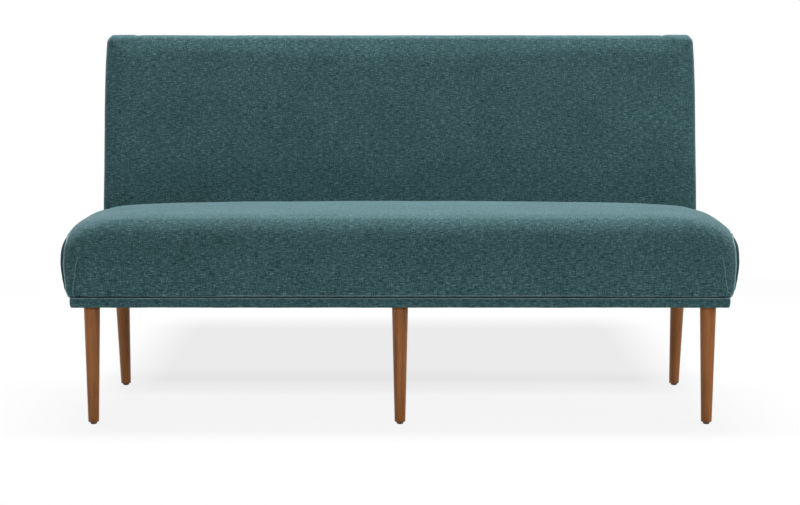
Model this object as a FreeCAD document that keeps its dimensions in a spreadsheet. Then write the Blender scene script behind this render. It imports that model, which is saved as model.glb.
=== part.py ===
import FreeCAD, Part
import math
import os

import Sketcher
from FreeCAD import Placement, Rotation, Vector

# An upholstered bench with a back: a hardwood frame on six turned legs, a sprung and padded seat,
# a reclined padded back, and a fabric band round the foot of the frame.
# The origin is on the floor under the middle of the bench. X runs along the seat, -Y is the front, +Z up.
# Lengths are in millimetres and angles in degrees.

# Driving dimensions

DIMENSIONS = [
    ("end_face", 722, "middle to the outer face of an end rail"),
    ("front_face", 309, "middle to the outer face of the front rail"),
    ("rear_face", 239, "middle to the outer face of the rear rail"),
    ("rail_thick", 27, "thickness of the rails and posts"),
    ("rail_bottom", 268, "underside of the frame above the floor"),
    ("rail_tall", 76, "height of the seat rails"),
    ("band_thick", 5, "thickness of the covered band"),
    ("band_bottom", 266, "underside of the band above the floor"),
    ("band_tall", 23, "height of the band"),
    ("block_side", 104, "corner block along each rail"),
    ("block_tall", 40, "height of a leg block"),
    ("block_half", 50, "half the length of a middle leg block"),
    ("cross_half", 35, "half the width of the cross rail, which lies flat"),
    ("cross_tall", 28, "thickness of the cross rail"),
    ("leg_across", 684, "middle to the axis of an outer leg"),
    ("leg_front", 271, "middle to the axis of a front leg"),
    ("leg_rear", 201, "middle to the axis of a rear leg, at its top"),
    ("leg_top", 267.2, "top of the legs above the floor"),
    ("leg_top_radius", 18, "radius of a leg at its top"),
    ("leg_foot_radius", 12, "radius of a leg at its foot"),
    ("leg_rake", 10.35, "backward slant of the rear legs"),
    ("glide_tall", 5, "height of a glide"),
    ("glide_radius", 7.5, "radius of a glide"),
    ("back_foot_y", 154, "front of the back at its foot, behind the middle"),
    ("back_foot_z", 289, "foot of the back above the floor"),
    ("recline", 9.5, "slant of the back"),
    ("back_half", 724, "half the length of the back"),
    ("back_tall", 591, "height of the back along its slant"),
    ("back_thick", 88, "thickness of the back"),
    ("back_corner_round", 20, "rounding of the back's top corners, seen from the front"),
    ("back_front_round", 22, "rounding of the front edges of the back"),
    ("back_rear_round", 6, "rounding of the rear edges of the back"),
    ("cover_thick", 1.5, "thickness of the cover cloth"),
    ("back_frame_near", 50, "front of the frame behind the face of the back"),
    ("back_frame_far", 83, "rear of the frame behind the face of the back"),
    ("back_pad_near", 12, "front of the foam behind the face of the back"),
    ("back_pad_foot", 110, "foot of the foam above the foot of the back"),
    ("back_rail_tall", 44, "height of the rails in the back"),
    ("seat_bottom", 290, "lower edge of the seat cover"),
    ("seat_tall", 185, "height of the seat from its lower edge to its crown"),
    ("seat_half", 757, "half the length of the seat at its widest"),
    ("seat_front", 337, "middle to the front of the seat where it bulges most"),
    ("seat_end_seam", 728, "middle to the seam of an end panel"),
    ("wrap_thick", 12.5, "thickness of the wadding under the cover"),
    ("deck_edge", 353, "underside of the deck cloth at the rails"),
    ("deck_arch", 10, "rise of the springs and the deck cloth in the middle"),
    ("deck_thick", 1.2, "thickness of the deck cloth"),
    ("spring_wire", 1.8, "radius of the spring wire"),
    ("spring_axis", 347.6, "height of the spring wire at the rails"),
    ("spring_reach", 22, "half the straight length of a spring's rung"),
    ("spring_across", 640, "middle to the outermost spring"),
    ("bolt_radius", 4, "radius of a hanger bolt"),
    ("bolt_below", 34, "length of a hanger bolt inside its leg"),
    ("bolt_above", 40, "length of a hanger bolt above its leg"),
    ("dowel_radius", 4, "radius of a dowel"),
    ("dowel_half", 22, "half the length of a dowel"),
    ("staple_wire", 0.6, "half the thickness of a staple"),
]
SPRINGS = 12
RUNGS = 21
WEBS = 10

doc = FreeCAD.newDocument("upholstered_bench")
dims = doc.addObject("Spreadsheet::Sheet", "Dims")
for row, (alias, value, note) in enumerate(DIMENSIONS, 1):
    dims.set(f"A{row}", note)
    dims.set(f"B{row}", str(value))
    dims.setAlias(f"B{row}", alias)
doc.recompute()

X_AXIS = Vector(1, 0, 0)
Y_AXIS = Vector(0, 1, 0)
Z_AXIS = Vector(0, 0, 1)
nodes = []


# Helpers

def size(alias):
    """A driving dimension as a number, for the pieces that are made with shape functions."""
    return float(dims.get(alias))


def named(alias_text):
    """A formula in the sheet's names: every word that starts with @ is a cell."""
    return alias_text.replace("@", "Dims.")


def bind(item, **formulas):
    """Bind properties to formulas; a double underscore stands for a dot."""
    for prop, formula in formulas.items():
        item.setExpression(prop.replace("__", "."), named(str(formula)))
    return item


def keep(item, label):
    """Make an object one of the bench's sub-parts."""
    item.Label = label
    nodes.append(item)
    return item


def stand(item, x="0", y="0", z="0"):
    """Place an object upright."""
    return bind(item, Placement__Base__x=x, Placement__Base__y=y, Placement__Base__z=z)


def lean(item, x="0", t="0", v="0"):
    """Place an object in the slanted frame of the back.

    x is along the bench, t goes in from the face of the back, and v goes up along the back.
    """
    item.Placement = Placement(Vector(0, 0, 0), Rotation(X_AXIS, -1))
    return bind(
        item,
        Placement__Rotation__Angle="-@recline",
        Placement__Base__x=x,
        Placement__Base__y=f"@back_foot_y + ({t}) * cos(@recline) + ({v}) * sin(@recline)",
        Placement__Base__z=f"@back_foot_z - ({t}) * sin(@recline) + ({v}) * cos(@recline)",
    )


def box(name, length, width, height):
    return bind(doc.addObject("Part::Box", name), Length=length, Width=width, Height=height)


def rod(name, radius, height):
    return bind(doc.addObject("Part::Cylinder", name), Radius=radius, Height=height)


def cut(name, base, tool):
    result = doc.addObject("Part::Cut", name)
    result.Base = base
    result.Tool = tool
    return result


def relieved(label, base, *tools):
    """A sub-part: the base with room cut for each of the tools."""
    for number, tool in enumerate(tools, 1):
        base = cut(f"{label}_cut_{number}", base, tool)
    return keep(base, label)


def common(name, base, tool):
    result = doc.addObject("Part::Common", name)
    result.Base = base
    result.Tool = tool
    return result


def outline_sketch(body, role, outline):
    """A closed outline of straight edges on an origin plane of its body.

    Each corner is a pair of formulas. The lines start on a circle, and the distances pull them into place.
    """
    sketch = body.newObject("Sketcher::SketchObject", body.Name + "_outline")
    plane = [item for item in body.Origin.OriginFeatures if item.Role == role][0]
    sketch.AttachmentSupport = [(plane, "")]
    sketch.MapMode = "FlatFace"
    count = len(outline)
    turn = 2 * math.pi / count
    start = [Vector(100 * math.cos(turn * i), 100 * math.sin(turn * i), 0) for i in range(count)]
    for i in range(count):
        sketch.addGeometry(Part.LineSegment(start[i], start[(i + 1) % count]), False)
    for i in range(count):
        sketch.addConstraint(Sketcher.Constraint("Coincident", i, 2, (i + 1) % count, 1))
    for i, corner in enumerate(outline):
        for kind, formula, first in (("DistanceX", corner[0], start[i].x), ("DistanceY", corner[1], start[i].y)):
            index = sketch.addConstraint(Sketcher.Constraint(kind, -1, 1, i, 1, first))
            sketch.setExpression(f"Constraints[{index}]", named(formula))
    return sketch


def padded(name, role, outline, length):
    """A body made by padding an outline."""
    body = doc.addObject("PartDesign::Body", name)
    pad = body.newObject("PartDesign::Pad", name + "_pad")
    pad.Profile = outline_sketch(body, role, outline)
    return body, bind(pad, Length=length)


def turned(name, outline):
    """A body turned about its upright axis; the outline is radius and height."""
    body = doc.addObject("PartDesign::Body", name)
    revolution = body.newObject("PartDesign::Revolution", name + "_turning")
    sketch = outline_sketch(body, "XZ_Plane", outline)
    revolution.Profile = sketch
    revolution.ReferenceAxis = (sketch, ["V_Axis"])
    revolution.Angle = 360
    return body


def copies(label, original, places):
    """One sub-part that is a group of like solids: the original at each placement."""
    doc.recompute()
    solids = []
    for place in places:
        solid = original.Shape.copy()
        solid.Placement = place.multiply(solid.Placement)
        solids.append(solid)
    group = doc.addObject("Part::Feature", label)
    group.Shape = Part.makeCompound(solids)
    return keep(group, label)


def at(x, y, z, axis=Z_AXIS, angle=0):
    return Placement(Vector(x, y, z), Rotation(axis, angle))


# Where the six legs stand

COLUMNS = {"left": "-@leg_across", "centre": "0", "right": "@leg_across"}
COLUMN_X = {"left": -size("leg_across"), "centre": 0, "right": size("leg_across")}
ROWS = {"front": ("-@leg_front", "0"), "rear": ("@leg_rear", "@leg_rake")}
ROW_Y = {"front": (-size("leg_front"), 0), "rear": (size("leg_rear"), size("leg_rake"))}


def leg_places(height):
    """The placement of each leg's axis, at a height above its top measured along the axis."""
    places = []
    for y, rake in ROW_Y.values():
        slant = math.radians(rake)
        for x in COLUMN_X.values():
            up = Vector(0, -math.sin(slant), math.cos(slant)) * height
            places.append(at(x, y + up.y, size("leg_top") + up.z, X_AXIS, rake))
    return places


def foot_y(row):
    """Where a leg's axis comes down onto its glide."""
    y, rake = ROW_Y[row]
    return y + (size("leg_top") - size("glide_tall")) * math.tan(math.radians(rake))


# Leg fixings: a hanger bolt up each leg's axis, with a flanged nut let into the top of its block

bolt = turned("bolt_form", [
    ("0", "0"), ("@bolt_radius - 2", "0"), ("@bolt_radius", "6"),
    ("@bolt_radius", "@bolt_below + @bolt_above"), ("0", "@bolt_below + @bolt_above"),
])
leg_hanger_bolts = copies("leg_hanger_bolts", bolt, leg_places(-size("bolt_below")))

NUT_BARREL = 9
NUT_FLANGE = 1.5
NUT_FOOT = 29
nut = turned("nut_form", [
    ("@bolt_radius", "0"), ("@bolt_radius + 1.2", "0"), ("@bolt_radius + 1.2", f"{NUT_BARREL}"),
    ("10.5", f"{NUT_BARREL}"), ("10.5", f"{NUT_BARREL + NUT_FLANGE}"),
    ("@bolt_radius", f"{NUT_BARREL + NUT_FLANGE}"),
])
leg_tee_nuts = copies("leg_tee_nuts", nut, leg_places(NUT_FOOT))

# The hole that a block has for them: the bolt's shank, the nut's barrel and a spot face for its flange
nut_hole = turned("nut_hole_form", [
    ("0", "-10"), ("@bolt_radius + 0.2", "-10"), ("@bolt_radius + 0.2", f"{NUT_FOOT}"),
    ("@bolt_radius + 1.2", f"{NUT_FOOT}"), ("@bolt_radius + 1.2", f"{NUT_FOOT + NUT_BARREL}"),
    ("11.4", f"{NUT_FOOT + NUT_BARREL}"), ("11.4", "60"), ("0", "60"),
])
doc.recompute()
nut_holes = doc.addObject("Part::Feature", "nut_holes")
nut_holes.Shape = Part.makeCompound(
    [Part.Solid(nut_hole.Shape.Solids[0]).transformed(place.toMatrix()) for place in leg_places(0)]
)

# Glides with their nails

NAIL_REACH = 18
nail = turned("nail_form", [
    ("0", "1.2"), ("3.2", "1.2"), ("3.2", "2.2"), ("1.1", "2.6"),
    ("1.1", f"@glide_tall + {NAIL_REACH} - 4"), ("0", f"@glide_tall + {NAIL_REACH}"),
])
glide_nails = copies(
    "glide_nails", nail, [at(x, foot_y(row), 0) for row in ROWS for x in COLUMN_X.values()]
)
for row, (_, rake) in ROWS.items():
    for column, x in COLUMNS.items():
        disc = turned(f"{row}_{column}_glide_form", [
            ("0", "0"), ("@glide_radius - 2.4", "0"), ("@glide_radius - 0.7", "0.8"), ("@glide_radius", "2.4"),
            ("@glide_radius", "@glide_tall - 0.6"), ("@glide_radius - 0.6", "@glide_tall"),
            ("0", "@glide_tall"),
        ])
        stand(disc, x, f"{foot_y(row)}")
        relieved(f"{row}_{column}_glide", disc, glide_nails)

# Legs: round and tapered, the rear ones slanted, cut level at the top and on the glide

LEG_SPARE = 8
for row, (y, rake) in ROWS.items():
    for column, x in COLUMNS.items():
        taper = f"(@leg_top_radius - @leg_foot_radius) / (@leg_top - @glide_tall) * {LEG_SPARE}"
        along = f"(@leg_top - @glide_tall) / cos({rake})"
        stick = turned(f"{row}_{column}_leg_turning", [
            ("0", f"-{LEG_SPARE}"), (f"@leg_foot_radius - {taper}", f"-{LEG_SPARE}"),
            (f"@leg_top_radius + {taper}", f"{along} + {LEG_SPARE}"), ("0", f"{along} + {LEG_SPARE}"),
        ])
        stick.Placement = Placement(Vector(0, 0, 0), Rotation(X_AXIS, 1))
        bind(stick, Placement__Rotation__Angle=rake)
        stand(stick, x, f"{y} + (@leg_top - @glide_tall) * tan({rake})", "@glide_tall")
        slab = box(f"{row}_{column}_leg_slab", "200", "200", "@leg_top - @glide_tall")
        stand(slab, f"{x} - 100", f"{y} - 70", "@glide_tall")
        levelled = common(f"{row}_{column}_leg_level", stick, slab)
        relieved(f"{row}_{column}_leg", levelled, leg_hanger_bolts, glide_nails)

# Dowels at the frame's joints

dowel = turned("dowel_form", [
    ("0", "-@dowel_half"), ("@dowel_radius - 1", "-@dowel_half"), ("@dowel_radius", "-@dowel_half + 1"),
    ("@dowel_radius", "@dowel_half - 1"), ("@dowel_radius - 1", "@dowel_half"), ("0", "@dowel_half"),
])
half_rail = size("rail_thick") / 2
post_x = size("end_face") - half_rail
rail_low = size("rail_bottom") + 22
rail_high = size("rail_bottom") + 54
post_front = 180
cross_mid = size("rail_bottom") + size("block_tall") + size("cross_tall") / 2 + 0.6
front_joint = -size("front_face") + size("rail_thick")
rear_joint = size("rear_face") - size("rail_thick")
slant = math.radians(size("recline"))
frame_mid = (size("back_frame_near") + size("back_frame_far")) / 2
top_rail_foot = size("back_tall") - size("wrap_thick") - size("back_rail_tall")
low_rail_mid = size("back_pad_foot") + size("back_rail_tall") / 2


def in_back(x, t, v, axis=Z_AXIS, angle=0):
    """A placement in the slanted frame of the back."""
    spot = Vector(
        x,
        size("back_foot_y") + t * math.cos(slant) + v * math.sin(slant),
        size("back_foot_z") - t * math.sin(slant) + v * math.cos(slant),
    )
    return Placement(spot, Rotation(X_AXIS, -size("recline")) * Rotation(axis, angle))


dowel_places = []
for side in (-1, 1):
    for z in (rail_low, rail_high):
        dowel_places.append(at(side * post_x, front_joint, z, X_AXIS, 90))
        dowel_places.append(at(side * post_x, post_front, z, X_AXIS, 90))
        dowel_places.append(at(side * (size("end_face") - size("rail_thick")), rear_joint + half_rail, z, Y_AXIS, 90))
    for joint in (front_joint, rear_joint):
        dowel_places.append(at(side * 20, joint, cross_mid, X_AXIS, 90))
    dowel_places.append(in_back(side * post_x, frame_mid, top_rail_foot))
    for x in (side * (size("end_face") - size("rail_thick")), side * half_rail):
        for v in (low_rail_mid - 11, low_rail_mid + 11):
            dowel_places.append(in_back(x, frame_mid, v, Y_AXIS, 90))
dowel_places.append(in_back(0, frame_mid, top_rail_foot))
frame_dowels = copies("frame_dowels", dowel, dowel_places)

# Screws that hold the corner blocks, and staples for the webbing and the dust cover

screw = turned("screw_form", [
    ("0", "0"), ("1", "3"), ("2", "10"), ("2", "44"), ("3.8", "47"), ("3.8", "48"), ("0", "48"),
])
screw_hole = turned("screw_hole_form", [
    ("0", "0"), ("1", "3"), ("2", "10"), ("2", "44"), ("3.8", "47"), ("3.8", "110"), ("0", "110"),
])
SCREW_ALONG = 66
SCREW_IN = 17
screw_places = []
for side in (-1, 1):
    rail_x = side * (size("end_face") - size("rail_thick"))
    for joint, inward in ((front_joint, 1), (rear_joint, -1)):
        z = size("rail_bottom") + size("block_tall") / 2
        screw_places.append(at(rail_x + side * SCREW_IN, joint + inward * SCREW_ALONG, z, Y_AXIS, -90 * side))
        screw_places.append(at(rail_x - side * SCREW_ALONG, joint - inward * SCREW_IN, z, X_AXIS, -90 * inward))
block_screws = copies("block_screws", screw, screw_places)
doc.recompute()
screw_holes = doc.addObject("Part::Feature", "screw_holes")
screw_holes.Shape = Part.makeCompound(
    [screw_hole.Shape.Solids[0].transformed(place.toMatrix()) for place in screw_places]
)

# A staple is a crown with two legs
staple, _ = padded("staple_form", "XZ_Plane", [
    ("-6", "0"), ("6", "0"), ("6", "-8"), ("6 - 2 * @staple_wire", "-8"),
    ("6 - 2 * @staple_wire", "-2 * @staple_wire"), ("-6 + 2 * @staple_wire", "-2 * @staple_wire"),
    ("-6 + 2 * @staple_wire", "-8"), ("-6", "-8"),
], "2 * @staple_wire")

bay = size("end_face") - 1.5 * size("rail_thick")
per_bay = WEBS // 2
web_middles = [
    side * (half_rail + bay * (i + 0.5) / per_bay) for side in (-1, 1) for i in range(per_bay)
]
web_staple_places = []
for x in web_middles:
    for v in (size("back_pad_foot") + 18, top_rail_foot + 24):
        face = in_back(x, size("back_frame_near") - 1.5, v)
        for shift in (-14, 14):
            web_staple_places.append(face.multiply(at(shift, 0, 0, X_AXIS, 90)))
webbing_staples = copies("webbing_staples", staple, web_staple_places)

DUST_PITCH = 100
dust_edge_y = (-size("front_face") + half_rail, size("rear_face") - half_rail)
dust_staple_places = []
for i in range(-6, 7):
    for y in dust_edge_y:
        dust_staple_places.append(at(i * DUST_PITCH + 50 * (i == 0), y, size("leg_top") - 2 * size("staple_wire"), X_AXIS, 180))
dust_cover_staples = copies("dust_cover_staples", staple, dust_staple_places)

# Seat frame: rails on edge, a flat cross rail, and a block over each leg

FIT = 0.2
front_rail = box("front_rail_bar", "2 * @end_face", "@rail_thick", "@rail_tall")
stand(front_rail, "-@end_face", "-@front_face", "@rail_bottom")
relieved("front_rail", front_rail, frame_dowels, block_screws, dust_cover_staples)

rear_rail = box("rear_rail_bar", "2 * (@end_face - @rail_thick)", "@rail_thick", "@rail_tall")
stand(rear_rail, "-@end_face + @rail_thick", "@rear_face - @rail_thick", "@rail_bottom")
relieved("rear_rail", rear_rail, frame_dowels, block_screws, dust_cover_staples)

for label, x in (("left_end_rail", "-@end_face"), ("right_end_rail", "@end_face - @rail_thick")):
    bar = box(label + "_bar", "@rail_thick", f"@front_face - @rail_thick + {post_front}", "@rail_tall")
    stand(bar, x, "-@front_face + @rail_thick", "@rail_bottom")
    relieved(label, bar, frame_dowels, block_screws)

cross_rail = box(
    "cross_rail_bar", "2 * @cross_half", "@front_face + @rear_face - 2 * @rail_thick", "@cross_tall"
)
stand(cross_rail, "-@cross_half", "-@front_face + @rail_thick", f"@rail_bottom + @block_tall + {3 * FIT}")
relieved("centre_cross_rail", cross_rail, frame_dowels)

# A corner block is a triangle with its tip cut off, a middle block is a plain one
CORNER_TIP = 18
corner_outline = [
    ("0", "0"), ("@block_side", "0"), ("@block_side", f"{CORNER_TIP}"),
    (f"{CORNER_TIP}", "@block_side"), ("0", "@block_side"),
]
CORNERS = {
    "front_left": ("-@end_face + @rail_thick", "-@front_face + @rail_thick", 0),
    "front_right": ("@end_face - @rail_thick", "-@front_face + @rail_thick", 90),
    "rear_right": ("@end_face - @rail_thick", "@rear_face - @rail_thick", 180),
    "rear_left": ("-@end_face + @rail_thick", "@rear_face - @rail_thick", 270),
}

for name, (x, y, turn) in CORNERS.items():
    block, _ = padded(name + "_block_form", "XY_Plane", corner_outline, "@block_tall")
    block.Placement = Placement(Vector(0, 0, 0), Rotation(Z_AXIS, turn))
    stand(block, x, y, "@rail_bottom")
    relieved(name + "_corner_block", block, nut_holes, screw_holes)
for row, y in (("front", "-@front_face + @rail_thick"), ("rear", f"@rear_face - @rail_thick - {60}")):
    block = box(row + "_centre_block_form", "2 * @block_half", "60", "@block_tall")
    stand(block, "-@block_half", y, "@rail_bottom")
    relieved(row + "_centre_block", block, nut_holes)

# Back frame: sawn posts, whose feet are upright and whose upper parts lean, with a top rail and two lower rails

NEAR = "@back_foot_y + @back_frame_near / cos(@recline)"
FAR = "@back_foot_y + @back_frame_far / cos(@recline)"
TOP_Z = f"@back_foot_z + {top_rail_foot} * cos(@recline)"
KNEE_Z = "400"


def post_outline(foot, rear, front):
    """Side view of a post: forward distance and height; its top is square to the slant."""
    return [
        (front, foot), (rear, foot), (rear, f"@back_foot_z + ({rear} - ({FAR})) / tan(@recline)"),
        (f"{FAR} + ({TOP_Z} - @back_foot_z) * tan(@recline) - @back_frame_far * tan(@recline) * sin(@recline)",
         f"{TOP_Z} - @back_frame_far * sin(@recline)"),
        (f"{NEAR} + ({TOP_Z} - @back_foot_z) * tan(@recline) - @back_frame_near * tan(@recline) * sin(@recline)",
         f"{TOP_Z} - @back_frame_near * sin(@recline)"),
        (f"{NEAR} + ({KNEE_Z} - @back_foot_z) * tan(@recline)", KNEE_Z),
        (front, "340"),
    ]


posts = []
for label, x in (("left_back_post", "-@end_face"), ("right_back_post", "@end_face - @rail_thick")):
    post, _ = padded(
        label + "_form", "YZ_Plane", post_outline("@rail_bottom", "@rear_face", f"{post_front}"), "@rail_thick"
    )
    stand(post, x)
    posts.append(relieved(label, post, frame_dowels, block_screws))

# The middle post stands on the cross rail, and its rear is notched over the rear rail
middle_post, _ = padded(
    "centre_back_post_form", "YZ_Plane",
    post_outline(f"{cross_mid} + @cross_tall / 2 + {FIT}", "@rear_face", f"{post_front}"), "@rail_thick",
)
stand(middle_post, "-@rail_thick / 2")
notch = box("rear_rail_notch", "@rail_thick + 10", "@rail_thick + 30", f"@rail_tall + {FIT}")
stand(notch, "-@rail_thick / 2 - 5", "@rear_face - @rail_thick", "@rail_bottom")
posts.append(relieved("centre_back_post", middle_post, notch, frame_dowels))

depth = "@back_frame_far - @back_frame_near"
top_rail = box("back_top_rail_bar", "2 * @end_face - 8", depth, "@back_rail_tall")
lean(top_rail, "-@end_face + 4", "@back_frame_near", f"{top_rail_foot}")
relieved("back_top_rail", top_rail, frame_dowels, webbing_staples)

for label, x in (("back_lower_rail_left", "-@end_face + @rail_thick"), ("back_lower_rail_right", "@rail_thick / 2")):
    bar = box(label + "_bar", "@end_face - 1.5 * @rail_thick", depth, "@back_rail_tall")
    lean(bar, x, "@back_frame_near", "@back_pad_foot")
    relieved(label, bar, frame_dowels, webbing_staples)

# Webbing up the back, from the lower rails to the top rail

WEB_HALF = 30
web = box("web_form", f"2 * {WEB_HALF}", "1.4", f"{top_rail_foot} + 30 - @back_pad_foot - 8")
doc.recompute()
webs = doc.addObject("Part::Feature", "webs")
webs.Shape = Part.makeCompound([web.Shape.transformed(place.toMatrix()) for place in [
    in_back(x - WEB_HALF, size("back_frame_near") - 1.5, size("back_pad_foot") + 8) for x in web_middles
]])
relieved("back_webbing", webs, webbing_staples)

# Springs: zigzag wire from the front rail to the rear rail, arched upwards

front_clip = -size("front_face") + half_rail
rear_clip = size("rear_face") - half_rail
rung_pitch = (rear_clip - front_clip) / (RUNGS - 1)


def arch(y, rise):
    """Rise of the sprung deck above its height at the rails."""
    middle = (front_clip + rear_clip) / 2
    half = (rear_clip - front_clip) / 2
    return rise * (1 - ((y - middle) / half) ** 2)


def spring(middle_x):
    reach = size("spring_reach")
    edges = []
    for i in range(RUNGS):
        side = 1 if i % 2 == 0 else -1
        y = front_clip + i * rung_pitch
        z = size("spring_axis") + arch(y, size("deck_arch"))
        start = Vector(middle_x - side * reach, y, z)
        end = Vector(middle_x + side * reach, y, z)
        edges.append(Part.LineSegment(start, end).toShape())
        if i < RUNGS - 1:
            next_y = y + rung_pitch
            after = Vector(end.x, next_y, size("spring_axis") + arch(next_y, size("deck_arch")))
            crest = (end + after) / 2 + Vector(side * end.distanceToPoint(after) / 2, 0, 0)
            edges.append(Part.Arc(end, crest, after).toShape())
    path = Part.Wire(edges)
    section = Part.Wire([Part.makeCircle(size("spring_wire"), edges[0].Vertexes[0].Point, X_AXIS)])
    tube = path.makePipeShell([section], True, False)
    return tube.Solids[0], path.Length


spring_middles = [size("spring_across") * (2 * i / (SPRINGS - 1) - 1) for i in range(SPRINGS)]
seat_springs = doc.addObject("Part::Feature", "seat_springs")
spring_solids = [spring(x) for x in spring_middles]
seat_springs.Shape = Part.makeCompound([solid for solid, _ in spring_solids])
keep(seat_springs, "seat_springs")
wire_area = math.pi * size("spring_wire") ** 2
first_solid, first_length = spring_solids[0]
print(f"a spring holds {first_solid.Volume / (wire_area * first_length):.4f} of its section times its length")

# A clip is a strip of steel, flat on the rail, folded over the spring's last rung
CLIP_HALF = 15
clip, _ = padded("clip_form", "YZ_Plane", [
    ("-10", "0"), ("3.4", "0"), ("3.4", "6.6"), ("-3.4", "6.6"), ("-3.4", "3"), ("-2.2", "3"),
    ("-2.2", "5.5"), ("2.2", "5.5"), ("2.2", "1.1"), ("-10", "1.1"),
], f"2 * {CLIP_HALF}")
rail_top = size("rail_bottom") + size("rail_tall")
clip_places = [at(x - CLIP_HALF, front_clip, rail_top) for x in spring_middles]
clip_places += [at(x + CLIP_HALF, rear_clip, rail_top, Z_AXIS, 180) for x in spring_middles]
spring_clips = copies("spring_clips", clip, clip_places)

# Tie wires run under the springs from end to end
tie = rod("tie_form", "1", "2 * @end_face - 2 * @rail_thick - 6")
tie_rows = (front_clip + rung_pitch * 7, front_clip + rung_pitch * 13)
tie_drop = size("spring_wire") + 1.2
tie_start = -size("end_face") + size("rail_thick") + 3
spring_tie_wires = copies("spring_tie_wires", tie, [
    at(tie_start, y, size("spring_axis") + arch(y, size("deck_arch")) - tie_drop, Y_AXIS, 90) for y in tie_rows
])

# Seat soft goods: deck cloth, foam, wadding and cover share one crowned form


def deck_solid(half_length, near, far, low, high):
    """The room between two levels that rise with the springs; a level below the rails' tops is flat."""
    middle = (near + far) / 2

    def level(height, flat):
        ends = [Vector(-half_length, y, height + (0 if flat else arch(y, size("deck_arch")))) for y in (near, far)]
        if flat:
            return Part.LineSegment(ends[0], ends[1]).toShape()
        crest = Vector(-half_length, middle, height + arch(middle, size("deck_arch")))
        return Part.Arc(ends[0], crest, ends[1]).toShape()

    bottom = level(low, low < size("rail_bottom"))
    top = level(high, False)
    sides = [
        Part.LineSegment(bottom.valueAt(bottom.LastParameter), top.valueAt(top.LastParameter)).toShape(),
        Part.LineSegment(bottom.valueAt(bottom.FirstParameter), top.valueAt(top.FirstParameter)).toShape(),
    ]
    outline = Part.Wire(Part.__sortEdges__([bottom, top] + sides))
    return Part.Face(outline).extrude(X_AXIS * (2 * half_length))


# Each level of the seat: its share of the height, how far its ends and its front are drawn in from the
# widest, where its rear edge lies, and the rounding of its corners. The pad bulges below its middle
# and rolls over to a low crown.
SEAT_LEVELS = [
    (0.00, 18, 19, 205, 18), (0.08, 11, 11, 205, 26), (0.18, 4, 5, 205, 36), (0.36, 0, 0, 205, 46),
    (0.50, 1, 0, 205, 50), (0.62, 4, 2, 205, 54), (0.73, 12, 5, 205, 58), (0.80, 23, 9, 204, 62),
    (0.86, 38, 14, 203, 64), (0.91, 62, 22, 198, 68), (0.955, 128, 38, 150, 72),
    (0.985, 255, 78, 90, 70), (1.00, 380, 190, 30, 44),
]
END_CROWN = 9
FRONT_CROWN = 4


def level_outline(half, near, far, z, corner):
    """A level of the seat: crowned sides and round corners, as arcs."""
    end_crown = min(END_CROWN, half / 8)
    middle = (near + far) / 2
    quarter = corner * (1 - math.sqrt(0.5))
    side = half - end_crown
    front = near + FRONT_CROWN

    def arc(a, b, c):
        return Part.Arc(Vector(*a, z), Vector(*b, z), Vector(*c, z)).toShape()

    return Part.Wire([
        arc((-side + corner, front), (0, near), (side - corner, front)),
        arc((side - corner, front), (side - quarter, front + quarter), (side, front + corner)),
        arc((side, front + corner), (half, middle), (side, far - corner)),
        arc((side, far - corner), (side - quarter, far - quarter), (side - corner, far)),
        Part.LineSegment(Vector(side - corner, far, z), Vector(-side + corner, far, z)).toShape(),
        arc((-side + corner, far), (-side + quarter, far - quarter), (-side, far - corner)),
        arc((-side, far - corner), (-half, middle), (-side, front + corner)),
        arc((-side, front + corner), (-side + quarter, front + quarter), (-side + corner, front)),
    ])


def seat_form(inset):
    """The crowned seat, every way smaller by the inset but at its lower edge."""
    wires = []
    for share, end_in, front_in, far, corner in SEAT_LEVELS:
        z = size("seat_bottom") + share * (size("seat_tall") - inset)
        half = size("seat_half") - end_in - inset
        near = -size("seat_front") + front_in + inset
        wires.append(level_outline(half, near, far, z, corner))
    return Part.makeLoft(wires, True, True)


def plain(name, shape):
    piece = doc.addObject("Part::Feature", name)
    piece.Shape = shape
    return piece


outer_seat = plain("seat_outer_form", seat_form(0))
inner_seat = plain("seat_inner_form", seat_form(size("cover_thick")))
pad_seat = plain("seat_pad_form", seat_form(size("cover_thick") + size("wrap_thick")))

# The seat ends against the face of the back
CLEAR = 0.3
behind = box("behind_the_seat", "2000", "400", "700")
lean(behind, "-1000", f"-{CLEAR}", "-100")

deck_low = size("deck_edge")
deck_high = deck_low + size("deck_thick")
deck_near = -size("front_face") + 6
deck_far = size("back_foot_y") + 8
deck_cloth = plain("deck_cloth_form", deck_solid(size("end_face") - 6, deck_near, deck_far, deck_low, deck_high))
keep(deck_cloth, "seat_deck_cloth")

below_deck = plain(
    "below_the_deck", deck_solid(900, deck_near, deck_far, size("rail_bottom") - 40, deck_high)
)
beyond_deck = box("beyond_the_deck", "1800", "700", f"{deck_high} - 200")
stand(beyond_deck, "-900", "-400", "200")
foam_above = cut("foam_above_the_deck", pad_seat, below_deck)
foam_level = cut("foam_level_edges", foam_above, beyond_deck)
relieved("seat_foam", foam_level, behind)

rail_room = box(
    "rail_room", f"2 * (@end_face + {FIT})", f"@front_face + @rear_face + {FIT}", f"{deck_high} - 200"
)
stand(rail_room, f"-@end_face - {FIT}", f"-@front_face - {FIT}", "200")
wrap_over_rails = cut("wrap_over_rails", inner_seat, rail_room)
wrap_over_deck = cut("wrap_over_deck", wrap_over_rails, below_deck)
wrap_over_foam = cut("wrap_over_foam", wrap_over_deck, foam_level)
relieved("seat_wrap", wrap_over_foam, behind)

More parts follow.
